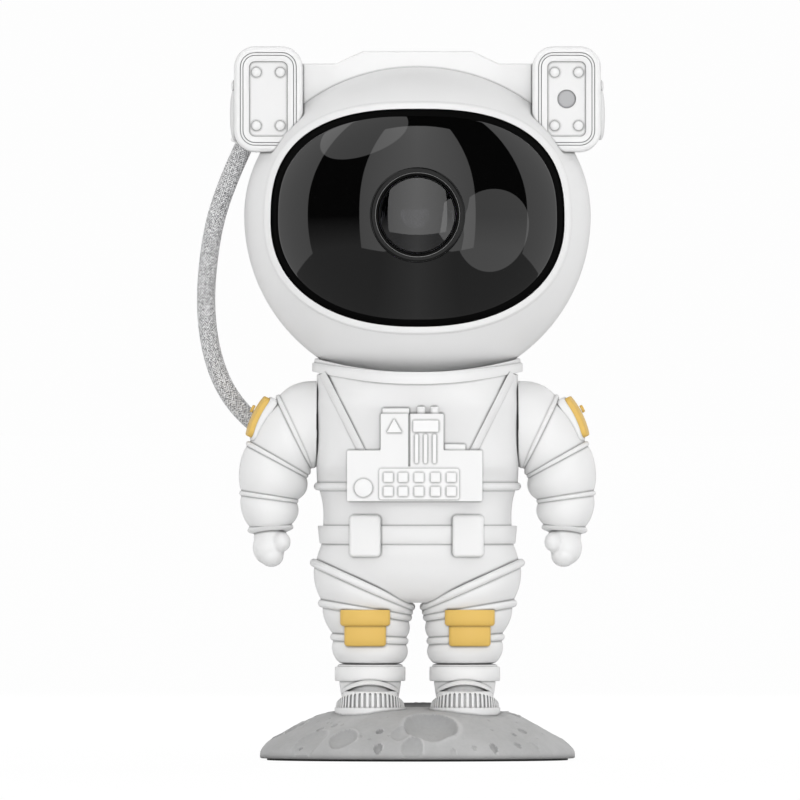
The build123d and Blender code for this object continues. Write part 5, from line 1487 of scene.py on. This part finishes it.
class PROJECTOR_OT_stage(bpy.types.Operator):
    """Adds the floor, the lamps, the mirrored studio and the camera"""

    bl_idname = "projector.stage"
    bl_label = "Stage"

    def card(self, name, rails, strength, size):
        """Bright sheet that only mirrors show, between two rails of points."""
        points = []
        for rail in rails:
            points += [Vector(p) * size + Vector(HEAD) * MM for p in blended(rail, 8)]
        half = len(points) // 2
        faces = [(i, i + 1, half + i + 1, half + i) for i in range(half - 1)]
        self.sheet(name, points, faces, strength, size)

    def disc(self, name, azimuth, elevation, reach, strength):
        """Round bright card that only mirrors show."""
        a, e, distance = radians(azimuth), radians(elevation), 1.25
        centre = Vector((sin(a) * cos(e), -cos(a) * cos(e), sin(e)))
        side = centre.orthogonal().normalized()
        lift = centre.cross(side)
        size = tan(radians(reach))
        ring = [centre + size * (cos(t) * side + sin(t) * lift) for t in turns(64)]
        self.sheet(name, [point * distance + Vector(HEAD) * MM for point in ring], [range(64)], strength)

    def sheet(self, name, points, faces, strength, size=None):
        """Glowing sheet: one with a size fades to its sides, another is see-through."""
        mesh = bpy.data.meshes.new(name)
        mesh.from_pydata(points, [], faces)
        material, tree = shader(name)
        if size:
            across = tree.parts(tree.place()).out("X").math("ABSOLUTE")
            tree.end(tree.glow((across * (-0.35 / size) + 1.15) * strength))
        else:
            clear = tree.node("ShaderNodeBsdfTransparent")
            tree.end(tree.node("ShaderNodeAddShader", {}, {0: tree.glow(strength), 1: clear}))
        mesh.materials.append(material)
        self.mirrored_only(new_object(name, mesh))

    def mirrored_only(self, thing):
        thing.visible_camera = thing.visible_diffuse = thing.visible_shadow = False
        thing.visible_transmission = thing.visible_volume_scatter = False

    def studio(self):
        """Dark room in front of the visor, with its windows and lamps."""
        material, tree = shader("mirrored_room")
        place = tree.parts(tree.place())
        down = ((0.17 - place.out("Z")) / 1.6).clamped()
        front = (place.out("X").math("ABSOLUTE") * -0.5 + 1.0).math("MAXIMUM", 0.0)
        tree.end(tree.glow(down * (front * 0.22 + 0.34)))
        self.mirrored_only(Shape().ball(HEAD, (5000, 5000, 5000), 64).build("mirrored_room", material))
        rail = [(-1, -1.235, -0.578), (-1, -1.235, 0.367), (-1, -0.95, 2.0), (-1, -0.577, 3.55)]
        self.card("mirrored_window", (rail, [(-x, y, z) for x, y, z in rail]), 1.4, 0.9)
        for side, x in (("right", 1), ("left", -1)):
            rail = [(x, -0.21, -0.36), (x, -0.21, 0.2), (x, -0.03, 1.0), (x, 0.44, 2.25)]
            edge = [(x, 2.5, -1.14), (x, 2.5, 0.2), (x, 2.5, 1.0), (x, 2.5, 2.25)]
            self.card("mirrored_wall_" + side, (rail, edge), 1.25, 1.4)
        self.disc("mirrored_disc_right", 52, -6.5, 27, 0.95)
        self.disc("mirrored_disc_left", -79, 63, 22.5, 0.95)

    def lamp(self, name, place, aim, size, power):
        """Disc lamp that looks at a height on the object's axis."""
        light = bpy.data.lights.new(name, "AREA")
        light.shape, light.size, light.energy = "DISK", size, power
        thing = new_object(name, light)
        thing.location = place
        thing.rotation_euler = (Vector((0, 0, aim)) - Vector(place)).to_track_quat("-Z", "Y").to_euler()
        thing.visible_glossy = False

    def floor(self):
        mesh = bpy.data.meshes.new("floor")
        mesh.from_pydata([(-30, -30, 0), (30, -30, 0), (30, 90, 0), (-30, 90, 0)], [], [(0, 1, 2, 3)])
        material, tree = shader("pale_floor")
        seen = tree.node("ShaderNodeLightPath").out("Is Camera Ray")
        skin = tree.node("ShaderNodeBsdfDiffuse", {}, {"Color": grey(0.8)})
        tree.end(tree.node("ShaderNodeMixShader", {}, {0: seen * 0.92, 1: skin, 2: tree.glow(1.02)}))
        mesh.materials.append(material)
        ground = new_object("floor", mesh)
        ground.visible_glossy = False

    def world(self):
        """Surroundings that are bright where they are seen and duller where they light."""
        world = bpy.data.worlds.new("studio")
        world.use_nodes = True
        world.node_tree.nodes.clear()
        tree = Tree(world.node_tree)
        rays = tree.node("ShaderNodeLightPath")
        shown = rays.out("Is Camera Ray").math("MAXIMUM", rays.out("Is Glossy Ray"))
        shown = shown.math("MAXIMUM", rays.out("Is Transmission Ray"))
        seen, lit = 0.985, 0.76
        level = shown * seen + (1 - shown) * lit
        back = tree.node("ShaderNodeBackground", {}, {"Color": grey(1.0), "Strength": level})
        tree.node("ShaderNodeOutputWorld", {}, {"Surface": back})
        return world

    def camera(self):
        """Far camera straight in front."""
        camera = bpy.data.cameras.new("camera")
        view = new_object("camera", camera)
        distance, width_shown = 10.0, 0.252
        view.location = (-0.0055, -distance, 0.1134)
        view.rotation_euler = (pi / 2, 0, 0)
        camera.lens = camera.sensor_width * distance / width_shown
        camera.clip_end = 200
        return view

    def execute(self, context):
        scene = context.scene
        scene.view_settings.view_transform = "Standard"
        self.floor()
        scene.world = self.world()
        self.studio()
        for lamp in (
            ("key", (0.5, -1.6, 1.6), 0.12, 1.3, 4.0),
            ("front", (0.1, -2.3, 0.15), 0.12, 1.0, 16.0),
            ("left", (-1.7, -1.7, 0.12), 0.1, 0.8, 7.5),
            ("right", (1.7, -1.7, 0.12), 0.1, 0.8, 7.5),
            ("back", (0.5, 1.8, 0.9), 0.12, 1.2, 12.0),
        ):
            self.lamp(*lamp)
        scene.camera = self.camera()
        return {"FINISHED"}


OPERATORS = (
    PROJECTOR_OT_finishes,
    PROJECTOR_OT_stage,
    PROJECTOR_OT_hose,
    PROJECTOR_OT_rock,
    PROJECTOR_OT_boots,
    PROJECTOR_OT_suit,
    PROJECTOR_OT_harness,
    PROJECTOR_OT_knee_pads,
    PROJECTOR_OT_arms,
    PROJECTOR_OT_chest_pack,
    PROJECTOR_OT_visor,
    PROJECTOR_OT_ears,
    PROJECTOR_OT_backpack,
)


class PROJECTOR_PT_panel(bpy.types.Panel):
    """Sidebar panel that lists the pieces"""

    bl_label = "Star projector"
    bl_idname = "PROJECTOR_PT_panel"
    bl_space_type = "VIEW_3D"
    bl_region_type = "UI"
    bl_category = "Projector"

    def draw(self, context):
        layout = self.layout
        for group in (context.scene.projector_colours, context.scene.projector_sizes):
            for name in group.__annotations__:
                layout.prop(group, name)
        for operator in OPERATORS:
            layout.operator(operator.bl_idname)


CLASSES = (ProjectorColours, ProjectorSizes, *OPERATORS, PROJECTOR_PT_panel)


def register():
    for item in CLASSES:
        bpy.utils.register_class(item)
    bpy.types.Scene.projector_colours = bpy.props.PointerProperty(type=ProjectorColours)
    bpy.types.Scene.projector_sizes = bpy.props.PointerProperty(type=ProjectorSizes)


def unregister():
    del bpy.types.Scene.projector_sizes, bpy.types.Scene.projector_colours
    for item in reversed(CLASSES):
        bpy.utils.unregister_class(item)


def main():
    register()
    for operator in OPERATORS:
        group, name = operator.bl_idname.split(".")
        getattr(getattr(bpy.ops, group), name)()


if __name__ == "__main__":
    main()
